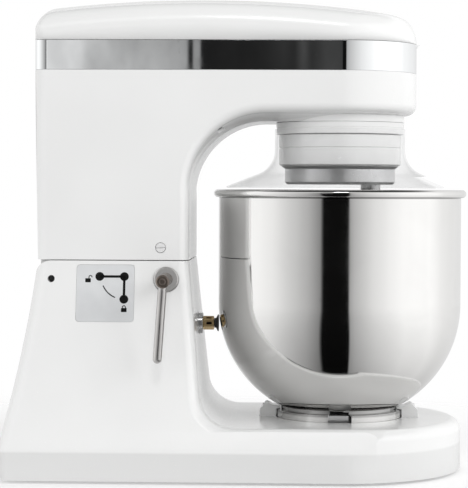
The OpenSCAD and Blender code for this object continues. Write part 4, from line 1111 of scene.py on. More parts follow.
@dataclass
class TopCover:
    """White moulded cover over the drive, crowned and rounded over at its nose."""

    workshop: Workshop
    low: float = BAND_TOP
    crown: float = 425.0
    crown_r: float = 1150.0
    across_r: float = 240.0
    side_r: float = 20.0
    nose_r: float = 30.0
    rear_r: float = 15.0
    corner_r: float = 10.0

    def along(self, x: float) -> float:
        """Height of the crown on the middle line at x."""
        return self.crown - self.crown_r + math.sqrt(self.crown_r**2 - (x - FRONT_X - 10) ** 2)

    def across(self, y: float) -> tuple[float, float]:
        """Fall of the crown, and of the crown with its side rounding, at distance y from the middle."""
        crown = math.sqrt(self.across_r**2 - y * y) - self.across_r
        side = HEAD_HALF - self.side_r
        if y <= side:
            return crown, min(0.0, crown)
        centre = math.sqrt((self.across_r - self.side_r) ** 2 - side * side) - self.across_r
        return crown, centre + math.sqrt(max(self.side_r**2 - (y - side) ** 2, 0.0))

    def height(self, x: float, y: float) -> float:
        """Height of the skin.

        Args:
            x: Place along the machine.
            y: Distance from the middle plane.

        Returns:
            Height of the cover's top there.
        """
        y = abs(y)
        if x > BOWL_X:
            reach = math.hypot(x - BOWL_X, y)
            share = min(1.0, math.atan2(y, x - BOWL_X) / math.radians(80)) if reach > 1e-6 else 0.0
            share = share * share * (3 - 2 * share)
            radius = self.nose_r + (self.side_r - self.nose_r) * share
            centre = self.low + 7.8 * share
            ring = HEAD_HALF - radius
            limit = centre + math.sqrt(max(radius**2 - max(reach - ring, 0.0) ** 2, 0.0))
            limit += max(0.0, ring - reach) * 0.25
            body = self.along(x) + self.across(y)[1]
            soft = 7 * (1 - share) + 0.01
            mix = max(soft - abs(limit - body), 0.0) / soft
            return max(self.low, min(limit, body) - mix * mix * soft / 4)
        crown, side = self.across(y)
        rear = max(0.0, self.rear_r - (x - HEAD_REAR))
        drop = self.rear_r - math.sqrt(max(self.rear_r**2 - rear * rear, 0.0))
        return self.along(x) + crown - math.hypot(crown - side, drop)

    def build(self) -> None:
        """Makes the cover as a crowned sheet with a wall."""
        form = Form()
        bm = form.bm
        offsets = [self.nose_r * (1 - math.cos(math.radians(a))) for a in range(0, 91, 6)]
        stations = [HEAD_HALF - d for d in offsets]
        stations += [stations[-1] * (1 - k / 9) for k in range(1, 10)]
        half = [bm.verts.new((BOWL_X, y, 0)) for y in stations]
        edges = [bm.edges.new(pair) for pair in zip(half, half[1:])]
        bmesh.ops.spin(
            bm,
            geom=half + edges,
            cent=(BOWL_X, 0, 0),
            axis=(0, 0, 1),
            dvec=(0, 0, 0),
            angle=-math.pi,
            steps=60,
        )
        bmesh.ops.remove_doubles(bm, verts=bm.verts, dist=0.001)
        row = [e for e in bm.edges if all(abs(v.co.x - BOWL_X) < 1e-3 for v in e.verts)]
        ends = [self.rear_r * (1 - math.cos(math.radians(a))) for a in range(90, -1, -6)]
        marks = [BOWL_X - 12 * k for k in range(1, 22)]
        marks = [x for x in marks if x > HEAD_REAR + self.rear_r + 3] + [HEAD_REAR + d for d in ends]
        at = BOWL_X
        for mark in marks:
            grown = bmesh.ops.extrude_edge_only(bm, edges=row)["geom"]
            verts = [v for v in grown if isinstance(v, bmesh.types.BMVert)]
            row = [e for e in grown if isinstance(e, bmesh.types.BMEdge)]
            bmesh.ops.translate(bm, verts=verts, vec=(mark - at, 0, 0))
            at = mark
        bmesh.ops.remove_doubles(bm, verts=bm.verts, dist=0.001)
        corner = HEAD_REAR + self.corner_r
        for vert in bm.verts:
            x = vert.co.x
            if x < corner:
                width = HEAD_HALF - self.corner_r
                width += math.sqrt(max(self.corner_r**2 - (corner - x) ** 2, 0))
                vert.co.y *= width / HEAD_HALF
        for vert in bm.verts:
            vert.co.z = self.height(vert.co.x, vert.co.y)
        rim = [e for e in bm.edges if e.is_boundary]
        grown = bmesh.ops.extrude_edge_only(bm, edges=rim)["geom"]
        for vert in grown:
            if isinstance(vert, bmesh.types.BMVert):
                vert.co.z = self.low + 0.2
        bmesh.ops.remove_doubles(bm, verts=bm.verts, dist=0.001)
        bmesh.ops.recalc_face_normals(bm, faces=bm.faces)
        thing = self.workshop.piece(
            form, "cover_skin", "head", "white_enamel", "cover enamel", ["top_cover"], 50, False
        )
        wall = thing.modifiers.new("wall", "SOLIDIFY")
        wall.thickness = 3 * METRE
        wall.offset = -1


@dataclass
class BrightBand:
    """Polished steel band let in round the head."""

    workshop: Workshop
    thick: float = 1.2

    def build(self) -> None:
        """Makes the band."""
        band = Form.prism(head_outline(0, 144), BAND_LOW + 0.1, BAND_TOP - 0.1)
        band = band.carve([Form.prism(head_outline(self.thick, 144), 300, 450)])

        def is_lip(edge: bmesh.types.BMEdge) -> bool:
            """Whether an edge runs along the band's upper or lower rim."""
            level = abs(edge.verts[0].co.z - edge.verts[1].co.z) < 0.01
            return level and edge.calc_face_angle(0) > 1.2

        band.round_edges(is_lip, 0.3, 3)
        self.workshop.piece(band, "bright_band", "head", "band_steel", "band steel", ["chrome_band"], 40)


# ---- drive, bowl and guard -------------------------------------------------------


@dataclass
class TurnedParts:
    """The round pieces about the bowl's axis."""

    workshop: Workshop
    collar_z: float = 303.7
    drum_top: float = 303.2
    drum_z: float = 275.5
    drum_r: float = 55.6
    lower_r: float = 50.0
    lower_z: float = 258.5

    def turned(self, corners: Sequence[Corner], steps: int = 192, x: float = BOWL_X) -> Form:
        """Turns a filleted section about the axis at x."""
        return Form.lathe(corners, steps).move((x, 0, 0))

    def tool_boss(self, top: float, low: float) -> Form:
        """Round boss about the tool's axis."""
        return Form.prism(circle((TOOL_X, 0), 12.5), low, top)

    def tool_bore(self) -> Form:
        """Cutter of the hole for the tool's shaft."""
        return Form.prism(circle((TOOL_X, 0), 9, 40), 250, 320)

    def collar(self) -> None:
        """Gearbox neck under the arm, with a fine groove just above the guard."""
        top, low = ARM_Z, self.collar_z
        section = [
            (45, low, 0), (57.6, low, 1.0), (57.9, low + 5.4, 0), (57.5, low + 5.6, 0),
            (57.5, low + 6.0, 0), (57.95, low + 6.2, 0), (58.2, top - 0.3, 0.3), (30, top - 0.3, 0),
            (30, top + 12, 0), (22, top + 12, 0), (22, 337, 0), (17, 337, 0), (17, 311.7, 0), (45, 311.7, 0),
        ]
        form = self.turned(section)
        self.workshop.piece(form, "neck_collar", "head", "white_casting", "neck enamel", ["gearbox_neck"])

    def drum(self) -> None:
        """Turning planetary drum with its fine groove and rounded lower edge."""
        top, low, r = self.drum_top, self.drum_z, self.drum_r
        section = [
            (8.05, top, 0), (r, top, 0.6), (r, top - 11.2, 0.25), (r - 0.9, top - 11.4, 0),
            (r - 0.9, top - 12, 0), (r - 0.1, top - 12.2, 0.25), (r - 0.3, low + 1, 0.5),
            (r - 1.3, low, 0.4), (r - 4, low, 0), (r - 4, top - 6, 0), (16, top - 6, 0), (16, low, 0),
            (11.05, low, 0), (11.05, top - 1.2, 0), (8.05, top - 1.2, 0),
        ]
        form = self.turned(section).carve([self.tool_boss(top - 5.5, low)], "UNION")
        self.workshop.piece(
            form.carve([self.tool_bore()]),
            "planetary_drum_shell",
            "planetary",
            "drum_enamel",
            "drum enamel",
            ["planetary_drum"],
        )

    def lower_drum(self) -> None:
        """Grey cast cup under the drum, with the boss of the tool's shaft."""
        r, low, top = self.lower_r, self.lower_z, self.drum_z
        section = [
            (16.5, low, 0), (r - 2, low, 0.8), (r, low + 2, 0.8), (r, top - 3, 1.2),
            (r + 3.4, top - 0.6, 0.5), (r + 1.4, top + 3.8, 0), (r - 4, top + 3.8, 0), (r - 4, low + 4, 0),
            (16.5, low + 4, 0),
        ]
        floor = Form.prism(circle((BOWL_X, 0), 17.5), low, low + 4)
        form = self.turned(section).carve([floor, self.tool_boss(top + 3, low)], "UNION")
        form.carve([self.tool_bore()])
        self.workshop.piece(form, "drum_cup", "planetary", "dark_casting", "dark casting", ["lower_drum"])

    def agitator(self) -> None:
        """Shaft that carries the tool, with its slinger collar and cross bore."""
        z = self.lower_z
        section = [
            (0, 216.5, 0), (6, 216.5, 0.8), (6, z - 5, 0.5), (8.5, z - 5, 0.6), (8.5, z - 0.5, 0.5),
            (6, z - 0.5, 0), (6, 304.7, 0), (5, 304.7, 0), (5, 311, 0), (0, 311, 0),
        ]
        bore = Form.prism(circle((0, 236.5), 2.05, 24), TOOL_X - 20, TOOL_X + 20, Axis.X)
        form = self.turned(section, 64, TOOL_X).carve([bore])
        self.workshop.piece(
            form, "tool_shaft", "agitator", "polished_steel", "turned steel", ["agitator_shaft"]
        )

    def build(self) -> None:
        """Makes all of them."""
        self.collar()
        self.drum()
        self.lower_drum()
        self.agitator()


@dataclass
class MixingBowl:
    """Spun steel bowl with a rolled bead and a welded foot ring."""

    workshop: Workshop
    radius: float = 110.2
    rim_z: float = 253.8
    rim_r: float = 114.8
    bead_r: float = 3.6
    thick: float = 1.2
    round_x: float = 5.2
    round_r: float = 105.0
    round_z: float = 150.0
    floor_z: float = 56.9

    def wall(self) -> list[Point2]:
        """Section of the sheet, outside up and inside down."""
        centre, inner = (self.round_x, self.round_z), self.round_r - self.thick
        low = math.degrees(math.asin((self.floor_z - self.round_z) / self.round_r))
        low_in = math.degrees(math.asin((self.floor_z + self.thick - self.round_z) / inner))
        bead = (self.rim_r - self.bead_r, self.rim_z - self.bead_r)
        start = 180 + math.degrees(math.acos((bead[0] - self.radius) / self.bead_r))
        outside = [(0, self.floor_z)] + arc(centre, self.round_r, low, 0, 72)
        outside += [(self.radius, z) for z in (153, 180, 215, 246)]
        rolled = arc(bead, self.bead_r, start, 180 + 360, 30)
        inside = [(self.radius - self.thick, z) for z in (240, 215, 180, 153)]
        inside += arc(centre, inner, 0, low_in, 72) + [(0, self.floor_z + self.thick)]
        return outside + rolled + inside

    def build(self) -> None:
        """Makes the bowl and its ring."""
        form = Form.turned(self.wall(), 256, closed=False).move((BOWL_X, 0, 0))
        self.workshop.piece(
            form, "bowl_shell", "bowl", "polished_steel", "mirror steel", ["bowl"], 35, False
        )
        r, z, top, floor = RING_R, SEAT_Z + 0.1, SEAT_Z + RING_H, self.floor_z - 0.05
        section = [
            (r - 1.6, z, 0), (r, z, 0.5), (r, top, 1.4), (r - 4.4, top, 0), (r - 4.4, floor, 0),
            (r - 6, floor, 0), (r - 6, top - 1.4, 0), (r - 1.6, top - 1.4, 0),
        ]
        ring = Form.lathe(section, 192).move((BOWL_X, 0, 0))
        notches = []
        for side in (-1, 1):
            notch = Form.prism(rounded_box(21, 9.2, 1), z - 3, top + 2)
            notches.append(notch.move((BOWL_X, side * (r - 0.4), 0)))
        ring.carve(notches)
        self.workshop.piece(ring, "foot_ring", "bowl", "polished_steel", "mirror steel", ["bowl_ring"])


@dataclass
class SplashGuard:
    """Clear guard that clips on the neck, with a filling opening at the front."""

    workshop: Workshop
    neck_r: float = 58.58
    sweep_r: float = 24.0
    brim_r: float = 104.0
    brim_z: float = 255.2
    thick: float = 1.3
    opening: float = 28.0
    opening_r: float = 76.3

    def line(self) -> list[Point2]:
        """Middle line of the wall, from the neck to the brim."""
        centre = (self.neck_r + self.sweep_r, self.brim_z + 34.5)
        bell = arc(centre, self.sweep_r, 180, 250, 20)
        return [(self.neck_r, 308.7)] + bell + [(self.brim_r - 0.65, self.brim_z + 0.65)]

    def build(self) -> None:
        """Makes the guard's shell with its filling opening."""
        line = [Vector(p) for p in self.line()]
        tangents = [(b - a).normalized() for a, b in zip([line[0], *line], [*line[1:], line[-1]])]
        shift = [Vector((-t.y, t.x)) * self.thick / 2 for t in tangents]
        outer = [tuple(p + s) for p, s in zip(line, shift)]
        inner = [tuple(p - s) for p, s in zip(line, shift)]
        form = Form.turned(outer + inner[::-1], 160)
        a = math.radians(self.opening)
        far, half = 200 * math.cos(a), 200 * math.sin(a)
        wedge = [(0, 0), (far, -half), (far, half)]
        cutter = Form.prism(wedge, self.brim_z - 5, self.brim_z + 11)
        keep = Form.prism(circle((0, 0), self.opening_r, 96), self.brim_z - 8, self.brim_z + 20)
        form = form.carve([cutter.carve([keep])]).move((BOWL_X, 0, 0))
        self.workshop.piece(
            form, "guard_shell", "head", "clear_plastic", "clear guard", ["splash_guard"], 30
        )


# ---- beater, clamp, stop and small parts -----------------------------------------


@dataclass
class FlatBeater:
    """Cast flat beater with its stem and bayonet socket."""

    workshop: Workshop
    top: float = 187.1
    height: float = 122.0
    half: float = 62.0
    bar: float = 8.0
    thick: float = 8.0
    stem_top: float = 246.5
    belly_z: float = 150.0

    def outline(self, inset: float) -> list[Point2]:
        """Outline that follows the bowl, grown inwards; X from the stem's axis, and Z."""
        low, high = self.top - self.height + inset, self.top - inset
        reach = 103.8 - inset
        flank = []
        for k in range(25):
            z = low + (self.belly_z - low) * k / 24
            x = -27.8 + math.sqrt(reach**2 - (z - self.belly_z) ** 2)
            flank.append((min(x, self.half - inset), z))
        shoulder_z = self.top - self.half - 12
        shoulder = self.half + 12 - inset
        for k in range(1, 15):
            z = self.belly_z + (high - self.belly_z) * k / 14
            round_top = math.sqrt(max(shoulder**2 - (z - shoulder_z) ** 2, 0.0))
            flank.append((min(self.half - inset, round_top), z))
        apart = [True] + [math.dist(p, q) > 0.4 for p, q in zip(flank, flank[1:])]
        flank = [p for p, kept in zip(flank, apart) if kept]
        return flank + [(-x, z) for x, z in reversed(flank)]

    def build(self) -> None:
        """Makes the beater: rim, rungs, stem and socket."""
        half_t = self.thick / 2
        rim = Form.prism(self.outline(0), -half_t, half_t, Axis.Y)
        rim.round_edges(lambda e: abs(e.verts[0].co.y - e.verts[1].co.y) < 0.01, 1.6, 3)
        rim = rim.carve([Form.prism(self.outline(self.bar), -20, 20, Axis.Y)])
        bars = [Form.prism(box(-4, 4, 70, 184), -half_t + 0.2, half_t - 0.2, Axis.Y)]
        for side in (-1, 1):
            for k in range(3):
                low = self.top - self.height + 18 + 31 * k
                turn = Matrix.Rotation(-math.radians(32 if side > 0 else 148), 4, "Y")
                rung = Form.prism(box(0, 120, -4, 3), -half_t + 0.4, half_t - 0.4, Axis.Y)
                rung.break_edges(0.8, 50, 3).move(Matrix.Translation((0, 0, low)) @ turn)
                bars.append(rung.carve([Form.prism(self.outline(2.5), -20, 20, Axis.Y)], "INTERSECT"))
        low, high = self.top, self.stem_top
        section = [
            (0, low - 14, 0), (7, low - 14, 1.5), (10, low, 4), (10, high, 1), (6.05, high, 0),
            (6.05, 216, 0), (0, 216, 0),
        ]
        stem = Form.lathe(section)
        slots = []
        for side in (0, 1):
            turn = Matrix.Rotation(math.pi * side, 4, "Z")
            across = arc((0, 0), 25, -20, 44, 12) + arc((0, 0), 5, 44, -20, 12)
            slots.append(Form.prism(across, 234.45, 238.55).move(turn))
            drop = Form.prism(box(5, 25, -2.2, 2.2), 236.5, 266.5)
            slots.append(drop.move(turn @ Matrix.Rotation(math.radians(30), 4, "Z")))
        form = rim.carve(bars, "UNION").carve([stem], "UNION").carve(slots).move((TOOL_X, 0, 0))
        self.workshop.piece(
            form, "beater", "agitator", "cast_aluminium", "cast aluminium", ["flat_beater"], 35
        )


@dataclass
class ClampLever:
    """Clamp of the head: flanged bush, turning shaft and the lever rod through it."""

    workshop: Workshop
    hub_r: float = 5.8
    rod_r: float = 3.9
    rod_len: float = 67.0
    rod_y: float = -113.0
    flange_r: float = 11.0
    lean: float = 4.0

    @property
    def flange_y(self) -> float:
        """Outer face of the flanged bush."""
        return -side_y(HINGE[1]) - 2

    def place(self) -> Matrix:
        """Place of the clamp's axis, local Z towards -Y."""
        return Matrix.Translation((CLAMP_X, 0, HINGE[1])) @ Matrix.Rotation(math.pi / 2, 4, "X")

    def rod_place(self) -> Matrix:
        """Place of the rod, local Z up along it."""
        turn = Matrix.Rotation(math.radians(self.lean), 4, "Y")
        return Matrix.Translation((CLAMP_X, self.rod_y, HINGE[1])) @ turn

    def bush(self) -> None:
        """Flanged bush, with a ground face and a turned step."""
        face = -self.flange_y
        section = [
            (4.05, face, 0.3), (self.flange_r - 1.2, face, 0.2), (self.flange_r, face - 0.8, 0.5),
            (self.flange_r, face - 3, 0), (7.95, face - 3, 0), (7.95, face - 16, 0), (4.05, face - 16, 0),
        ]
        form = Form.lathe(section, 96).move(self.place())
        self.workshop.piece(form, "clamp_bush", "base", "steel", "ground steel", ["lock_bush"])

    def shaft(self) -> None:
        """Shaft with its dark hub; the hub is cross-bored for the rod."""
        face, end, r = -self.flange_y + 0.3, 119.5, self.hub_r
        section = [
            (0, 37.5, 0), (4, 37.5, 0.6), (4, 51.8, 0), (6.5, 51.8, 0.4), (6.5, 54.8, 0.4), (4, 54.8, 0),
            (4, face, 0), (r, face, 0.6), (r, end - 0.8, 0.6), (r - 1.2, end, 0.4), (2.6, end, 0.3),
            (2.2, end - 0.7, 0.2), (0, end - 0.7, 0),
        ]
        bore = Form.rod(3.55, -20, 2, 40).move(self.rod_place())
        form = Form.lathe(section).move(self.place()).carve([bore])
        self.workshop.piece(form, "clamp_hub", "clamp", "dark_steel", "browned steel", ["clamp_shaft"])

    def rod(self) -> None:
        """Lever rod with a domed end and a neck under the hub; neither shows in the enamel's gloss."""
        r, low = self.rod_r, -self.rod_len
        turns = [math.radians(a) for a in range(0, 91, 9)]
        section = [(r * math.sin(a), low - r * math.cos(a)) for a in turns]
        section += [(r, low + 6), (r, -7.6), (r - 0.25, -7.2), (r - 0.25, -6.4), (r, -6.1), (r, 1.2)]
        section += [(r - 0.8, 2), (0, 2)]
        form = Form.turned(section, 48).move(self.rod_place())
        self.workshop.piece(form, "lever_rod", "clamp", "steel", "lever steel", ["clamp_lever"])
        for name in ("clamp_hub", "lever_rod"):
            bpy.data.objects[name].visible_glossy = False

    def build(self) -> None:
        """Makes the clamp's visible pieces."""
        self.bush()
        self.shaft()
        self.rod()


@dataclass
class BowlStop:
    """Adjustable stop between column and bowl: flange, slotted brass nut, screw and rubber pad."""

    workshop: Workshop

    def place(self, reach: float = 0.0) -> Matrix:
        """Place on the stop's axis, local Z along +X."""
        return Matrix.Translation((STOP_X + reach, *STOP_AXIS)) @ Matrix.Rotation(math.pi / 2, 4, "Y")

    def build(self) -> None:
        """Makes the four pieces."""
        flange = [
            (5.05, 0, 0), (9.6, 0, 0.3), (9.6, 5.6, 1.0), (6.8, 5.6, 0.2), (6.4, 5.0, 0.2), (5.05, 5.0, 0),
        ]
        form = Form.lathe(flange).move(self.place())
        self.workshop.piece(form, "stop_flange_ring", "base", "steel", "turned steel", ["stop_flange"])
        low, high = 5.6, 15.5
        hexagon = Form.prism(circle((0, 0), 6.3, 6), low, high)
        chamfer = [(0, low), (5.6, low), (6.4, 6.2), (6.4, 14.9), (5.6, high), (0, high)]
        nut = hexagon.carve([Form.turned(chamfer, 48)], "INTERSECT")
        cuts = [Form.rod(2.55, -20, 30)]
        for a in (math.pi / 2, math.pi / 6):
            slot = Form.prism(box(-10, 10, -1.2, 1.2), 8.5, 13.5)
            cuts.append(slot.move(Matrix.Rotation(a, 4, "Z")))
        nut.carve([Form.rod(5, -15, 6, 48)], "UNION").carve(cuts).move(self.place())
        self.workshop.piece(nut, "stop_nut", "base", "brass", "machined brass", ["stop_body"])
        thread = [(2.5 if k % 2 else 2.15, -14 + 0.5 * k) for k in range(62)]
        form = Form.turned([(0, -14)] + thread + [(2.4, 17.3), (0, 17.3)], 32).move(self.place())
        self.workshop.piece(form, "stop_stud", "base", "dark_steel", "dark steel", ["stop_screw"], 60, False)
        pad = [
            (0, 1.5, 0), (2.55, 1.5, 0), (2.55, 0, 0), (4.5, 0, 0.3), (4.5, 1.5, 0.4), (7.8, 3.2, 0.4),
            (7.6, 3.9, 0.4), (0, 3.9, 0),
        ]
        form = Form.lathe(pad).move(self.place(15.8))
        self.workshop.piece(form, "stop_buffer", "base", "rubber", "black rubber", ["stop_pad"])


@dataclass
class LabelPlate:
    """Pale film label beside the clamp with plain locking marks and no words."""

    workshop: Workshop
    size: float = 51.0
    top: float = 0.3

    def mark(self, outline: Sequence[Point2]) -> Form:
        """One printed mark, as a thin raised shape on the film."""
        return Form.prism(outline, self.top - 0.05, self.top + 0.06)

    def bar(self, start: Point2, end: Point2, width: float) -> Form:
        """Straight printed bar between two points."""
        a, b = Vector(start), Vector(end)
        across = Vector((a.y - b.y, b.x - a.x)).normalized() * width / 2
        corners = [a - across, b - across, b + across, a + across]
        return self.mark([tuple(c) for c in corners])

    def padlock(self, centre: Point2, open_shackle: bool) -> list[Form]:
        """Padlock mark, closed or open."""
        x, y = centre
        lift = 1.7 if open_shackle else 1.2
        ring = (2.1 if open_shackle else 0.0, lift)
        foot = ring[1] - 0.4 if open_shackle else 0.3
        shackle = arc(ring, 1.7, 0, 180, 16) + [(ring[0] - 1.7, 0.3), (ring[0] - 0.95, 0.3)]
        shackle += arc(ring, 0.95, 180, 0, 16) + [(ring[0] + 0.95, foot), (ring[0] + 1.7, foot)]
        body = [(a, b - 1.3) for a, b in rounded_box(4.9, 3.6, 0.4)]
        return [self.mark([(a + x, b + y) for a, b in outline]) for outline in (body, shackle)]

    def build(self) -> None:
        """Makes the film and its marks."""
        place = side_place(*LABEL_PLACE)
        film = Form.prism(rounded_box(self.size, self.size, 3), -0.8, self.top)
        film.break_edges(0.12, 50, 2).move(place)
        self.workshop.piece(film, "label_film", "base", "label_film", "label film", ["label_plate"])
        corner, reach, drop = (16.6, 15.0), -5.1, -5.3
        marks = Form()
        low = (corner[0], drop)
        for spot in ((reach, corner[1]), corner, low):
            marks.join(self.mark(circle(spot, 3.9, 40)))
        marks.join(self.bar((reach, corner[1]), corner, 2.2), self.bar(corner, low, 2.2))
        swing = arc(corner, 20.8, 203.7, 247.4, 20) + arc(corner, 19.8, 247.4, 203.7, 20)
        marks.join(self.mark(swing))
        for form in self.padlock((-15.4, 12.8), True) + self.padlock((16.8, -13.6), False):
            marks.join(form)
        marks.move(place)
        self.workshop.piece(marks, "label_marks", "base", "black_plastic", "black print", (), 32, False)


@dataclass
class SmallFittings:
    """Feet, claws and controls."""

    workshop: Workshop
    rear_feet: Point2 = (-172.0, 78.5)
    screw_r: float = 82.0
    screw_angle: float = 54.2
    knob_x: float = -13.0
    button_x: float = 23.0

    def feet(self) -> None:
        """Four rubber feet, counterbored for their screws."""
        section = [(2.55, 1.6, 0), (4.6, 1.6, 0), (4.6, 0, 0.3), (10, 0, 0.8), (11, 3, 0), (2.55, 3, 0)]
        angle = math.radians(self.screw_angle)
        front = (BOWL_X + self.screw_r * math.cos(angle), self.screw_r * math.sin(angle))
        form = Form()
        for x, y in (self.rear_feet, front):
            for side in (-1, 1):
                form.join(Form.lathe(section, 48).move((x, side * y, 0)))
        self.workshop.piece(form, "rubber_foot_set", "base", "rubber", "black rubber", ["rubber_feet"])

    def claws(self) -> None:
        """Two cast claws that hold the bowl's foot ring."""
        r, h = RING_R, RING_H
        section = [
            (r + 0.3, 0, 0), (r + 15, 0, 0), (r + 15, 9, 1.5), (r + 9, h + 6.4, 2), (r + 3, h + 3.4, 2),
            (r - 4, h + 2.3, 0.8), (r - 4, h + 0.3, 0.3), (r + 0.3, h + 0.3, 0.3),
        ]
        form = Form()
        for side in (0, 1):
            place = Matrix.Translation((BOWL_X, 0, SEAT_Z)) @ Matrix.Rotation(math.pi * side, 4, "Z")
            claw = Form.prism(filleted(section), -9, 9, Axis.Y).break_edges(0.7, 50, 3)
            holes = [
                Form.prism(circle((r + 9, 0), 2.05, 24), -1, 20),
                Form.prism(circle((r + 9, 0), 3.7, 32), 11, 30),
            ]
            form.join(claw.carve(holes).move(place))
        self.workshop.piece(form, "claw_pair", "base", "white_enamel", "white enamel", ["bowl_claws"])

    def panel(self) -> None:
        """Control panel on the far side, with plain dial marks round the knob."""
        place = side_place(*PANEL_PLACE)
        plate = Form.prism(rounded_box(90, 62, 6), -1.5, 0.5).break_edges(0.15, 50, 2)
        holes = [Form.prism(circle((self.knob_x, 0), 3.05, 32), -5, 5)]
        holes += [Form.prism(circle((self.button_x, y), 8.4), -5, 5) for y in (-12, 12)]
        form = plate.carve(holes).move(place)
        self.workshop.piece(form, "control_plate", "base", "panel_film", "panel film", ["control_panel"])
        ticks = Form()
        for k in range(11):
            angle = math.radians(90 + 30 + 30 * k)
            long = 25.5 if k % 5 == 0 else 24
            line = Form.prism(box(21.5, long, -0.35, 0.35), 0.45, 0.58)
            ticks.join(line.move(Matrix.Rotation(angle, 4, "Z")).move((self.knob_x, 0, 0)))
        ticks.move(place)
        self.workshop.piece(ticks, "dial_ticks", "base", "white_enamel", "white print", (), 32, False)

    def knob(self) -> None:
        """Grooved speed knob with a pointer line."""
        place = side_place(*PANEL_PLACE) @ Matrix.Translation((self.knob_x, 0, 0))
        low = 0.8
        section = [
            (0, low, 0), (17, low, 0.5), (17, low + 3, 1.0), (14.6, low + 3.2, 0.8), (13, 16, 1.6),
            (6, 16.4, 3), (4, 15.4, 1), (0, 15.4, 0),
        ]
        body = Form.lathe(section, 96)
        grooves = []
        for k in range(18):
            a = math.radians(20 * k + 10)
            spot = (15.2 * math.cos(a), 15.2 * math.sin(a))
            grooves.append(Form.prism(circle(spot, 1.5, 16), low + 4, 30))
        stem = Form.rod(2, -9, 1.5)
        form = body.carve(grooves).carve([stem], "UNION").move(place)
        self.workshop.piece(
            form, "speed_dial", "speed_knob", "black_plastic", "black plastic", ["speed_knob"]
        )
        line = Form.prism(box(-0.7, 0.7, -13.4, -6.6), 15.6, 16.5).move(place)
        self.workshop.piece(line, "dial_pointer", "speed_knob", "white_enamel", "white print", (), 32, False)

    def buttons(self) -> None:
        """Start and stop buttons with a dished face."""
        for name, y, finish, slot in (
            ("start_button", -12, "green plastic", "green_plastic"),
            ("stop_button", 12, "red plastic", "red_plastic"),
        ):
            dish = [(1.5 * k, 2.65 + 0.6 * (k / 4.6) ** 2) for k in range(5)]
            section = [(0, -8), (2, -8), (2, -3), (8, -3), (8, 3.0), (7.7, 3.4), (7.2, 3.5)] + dish[::-1]
            place = side_place(*PANEL_PLACE) @ Matrix.Translation((self.button_x, y, 0))
            form = Form.turned(section, 64).move(place)
            self.workshop.piece(form, name + "_cap", name, slot, finish, [name])

    def build(self) -> None:
        """Makes all of them."""
        self.feet()
        self.claws()
        self.panel()
        self.knob()
        self.buttons()


KEPT = {
    "zinc": ["bottom_plate", "motor_bracket", "board_posts", "quadrant_plate"],
    "bright screw": [
        "foot_screws", "claw_screws", "neck_screws", "motor_screws", "clamp_washer", "clamp_nut",
        "pulley_nut",
    ],
    "turned steel": [
        "main_shaft", "tool_pin", "planet_pinion", "ring_gear", "main_bearings", "small_pulley",
    ],
    "sintered bronze": ["hinge_bushes", "agitator_bushes"],
    "cast aluminium": ["large_pulley", "motor_can"],
    "dark steel": ["hinge_pin", "motor_rotor"],
    "black plastic": ["speed_potentiometer", "button_switches", "interlock_switch", "cord_gland"],
    "circuit board": ["control_board"],
    "black rubber": ["drive_belt"],
}

# Painted shade on the bowl: height, half width and darkness of a dark band under the rolled bead and one at
# the neck above the foot ring.
BOWL_PAINTED_SHADE = ((246.7, 1.0, 0.65), (54.5, 4.0, 0.5))

FINISHES = {
    finish.name: finish
    for finish in (
        Enamel("white enamel", (0.87, 0.872, 0.868)),
        # Base paint, with painted shade on the skirt below the crease.
        Enamel("base enamel", (0.87, 0.872, 0.868), painted_foot_shade=0.86),
        Enamel("painted screw", (0.8, 0.8, 0.8), 0.3),
        Enamel("cover enamel", (0.885, 0.887, 0.883), 0.2, 0.5, 0.00002),
        Enamel("neck enamel", (0.86, 0.862, 0.858), 0.3, 0.3),
        Enamel("drum enamel", (0.85, 0.852, 0.848), 0.22, 0.5, 0.00002),
        Metal("band steel", (0.80, 0.81, 0.815), 0.02, Grain.ALONG_X, 0.0000005, 0.02),
        Metal("mirror steel", (0.71, 0.705, 0.695), 0.06, Grain.LEVEL, 0.000002, 0.03, 900, BOWL_PAINTED_SHADE),
        Metal("turned steel", (0.66, 0.66, 0.66), 0.24, Grain.NONE, 0.00001),
        Metal("lever steel", (0.52, 0.51, 0.50), 0.3, Grain.ALONG_Z, 0.00002, 0.1),
        Metal("ground steel", (0.66, 0.65, 0.64), 0.5, Grain.NONE, 0.00003, 0.2),
        Metal("bright screw", (0.72, 0.72, 0.72), 0.25),
        Metal("browned steel", (0.23, 0.195, 0.17), 0.38, Grain.NONE, 0.00002, 0.3),
        Metal("dark steel", (0.09, 0.09, 0.09), 0.4, Grain.NONE, 0.00002, 0.3),
        Metal("machined brass", (0.75, 0.55, 0.29), 0.33, Grain.NONE, 0.00001, 0.15),
        Metal("sintered bronze", (0.6, 0.42, 0.22), 0.45),
        Metal("cast aluminium", (0.70, 0.70, 0.70), 0.42, Grain.NONE, 0.00006, 0.08, 500),
        Metal("dark casting", (0.56, 0.56, 0.565), 0.3, Grain.NONE, 0.000008, 0.08, 400),
        Metal("zinc", (0.66, 0.67, 0.68), 0.36, Grain.NONE, 0.00001, 0.12),
        Moulding("black rubber", (0.03, 0.03, 0.03), 0.7),
        Moulding("black plastic", (0.035, 0.035, 0.036), 0.42),
        Moulding("black print", (0.006, 0.006, 0.006), 0.6, 0.00001, gloss=0.08),
        Moulding("white print", (0.85, 0.85, 0.85), 0.45, 0.00001),
        Moulding("label film", (0.62, 0.63, 0.64), 0.36, 0.00001),
        Moulding("panel film", (0.22, 0.225, 0.235), 0.4, 0.00002),
        Moulding("green plastic", (0.03, 0.30, 0.09), 0.28, 0.00001, 700, 0.3),
        Moulding("red plastic", (0.55, 0.03, 0.025), 0.28, 0.00001, 700, 0.3),
        Moulding("circuit board", (0.02, 0.16, 0.07), 0.35, 0.00002),
        ClearMoulding("clear guard"),
    )
}


# ---- studio ----------------------------------------------------------------------


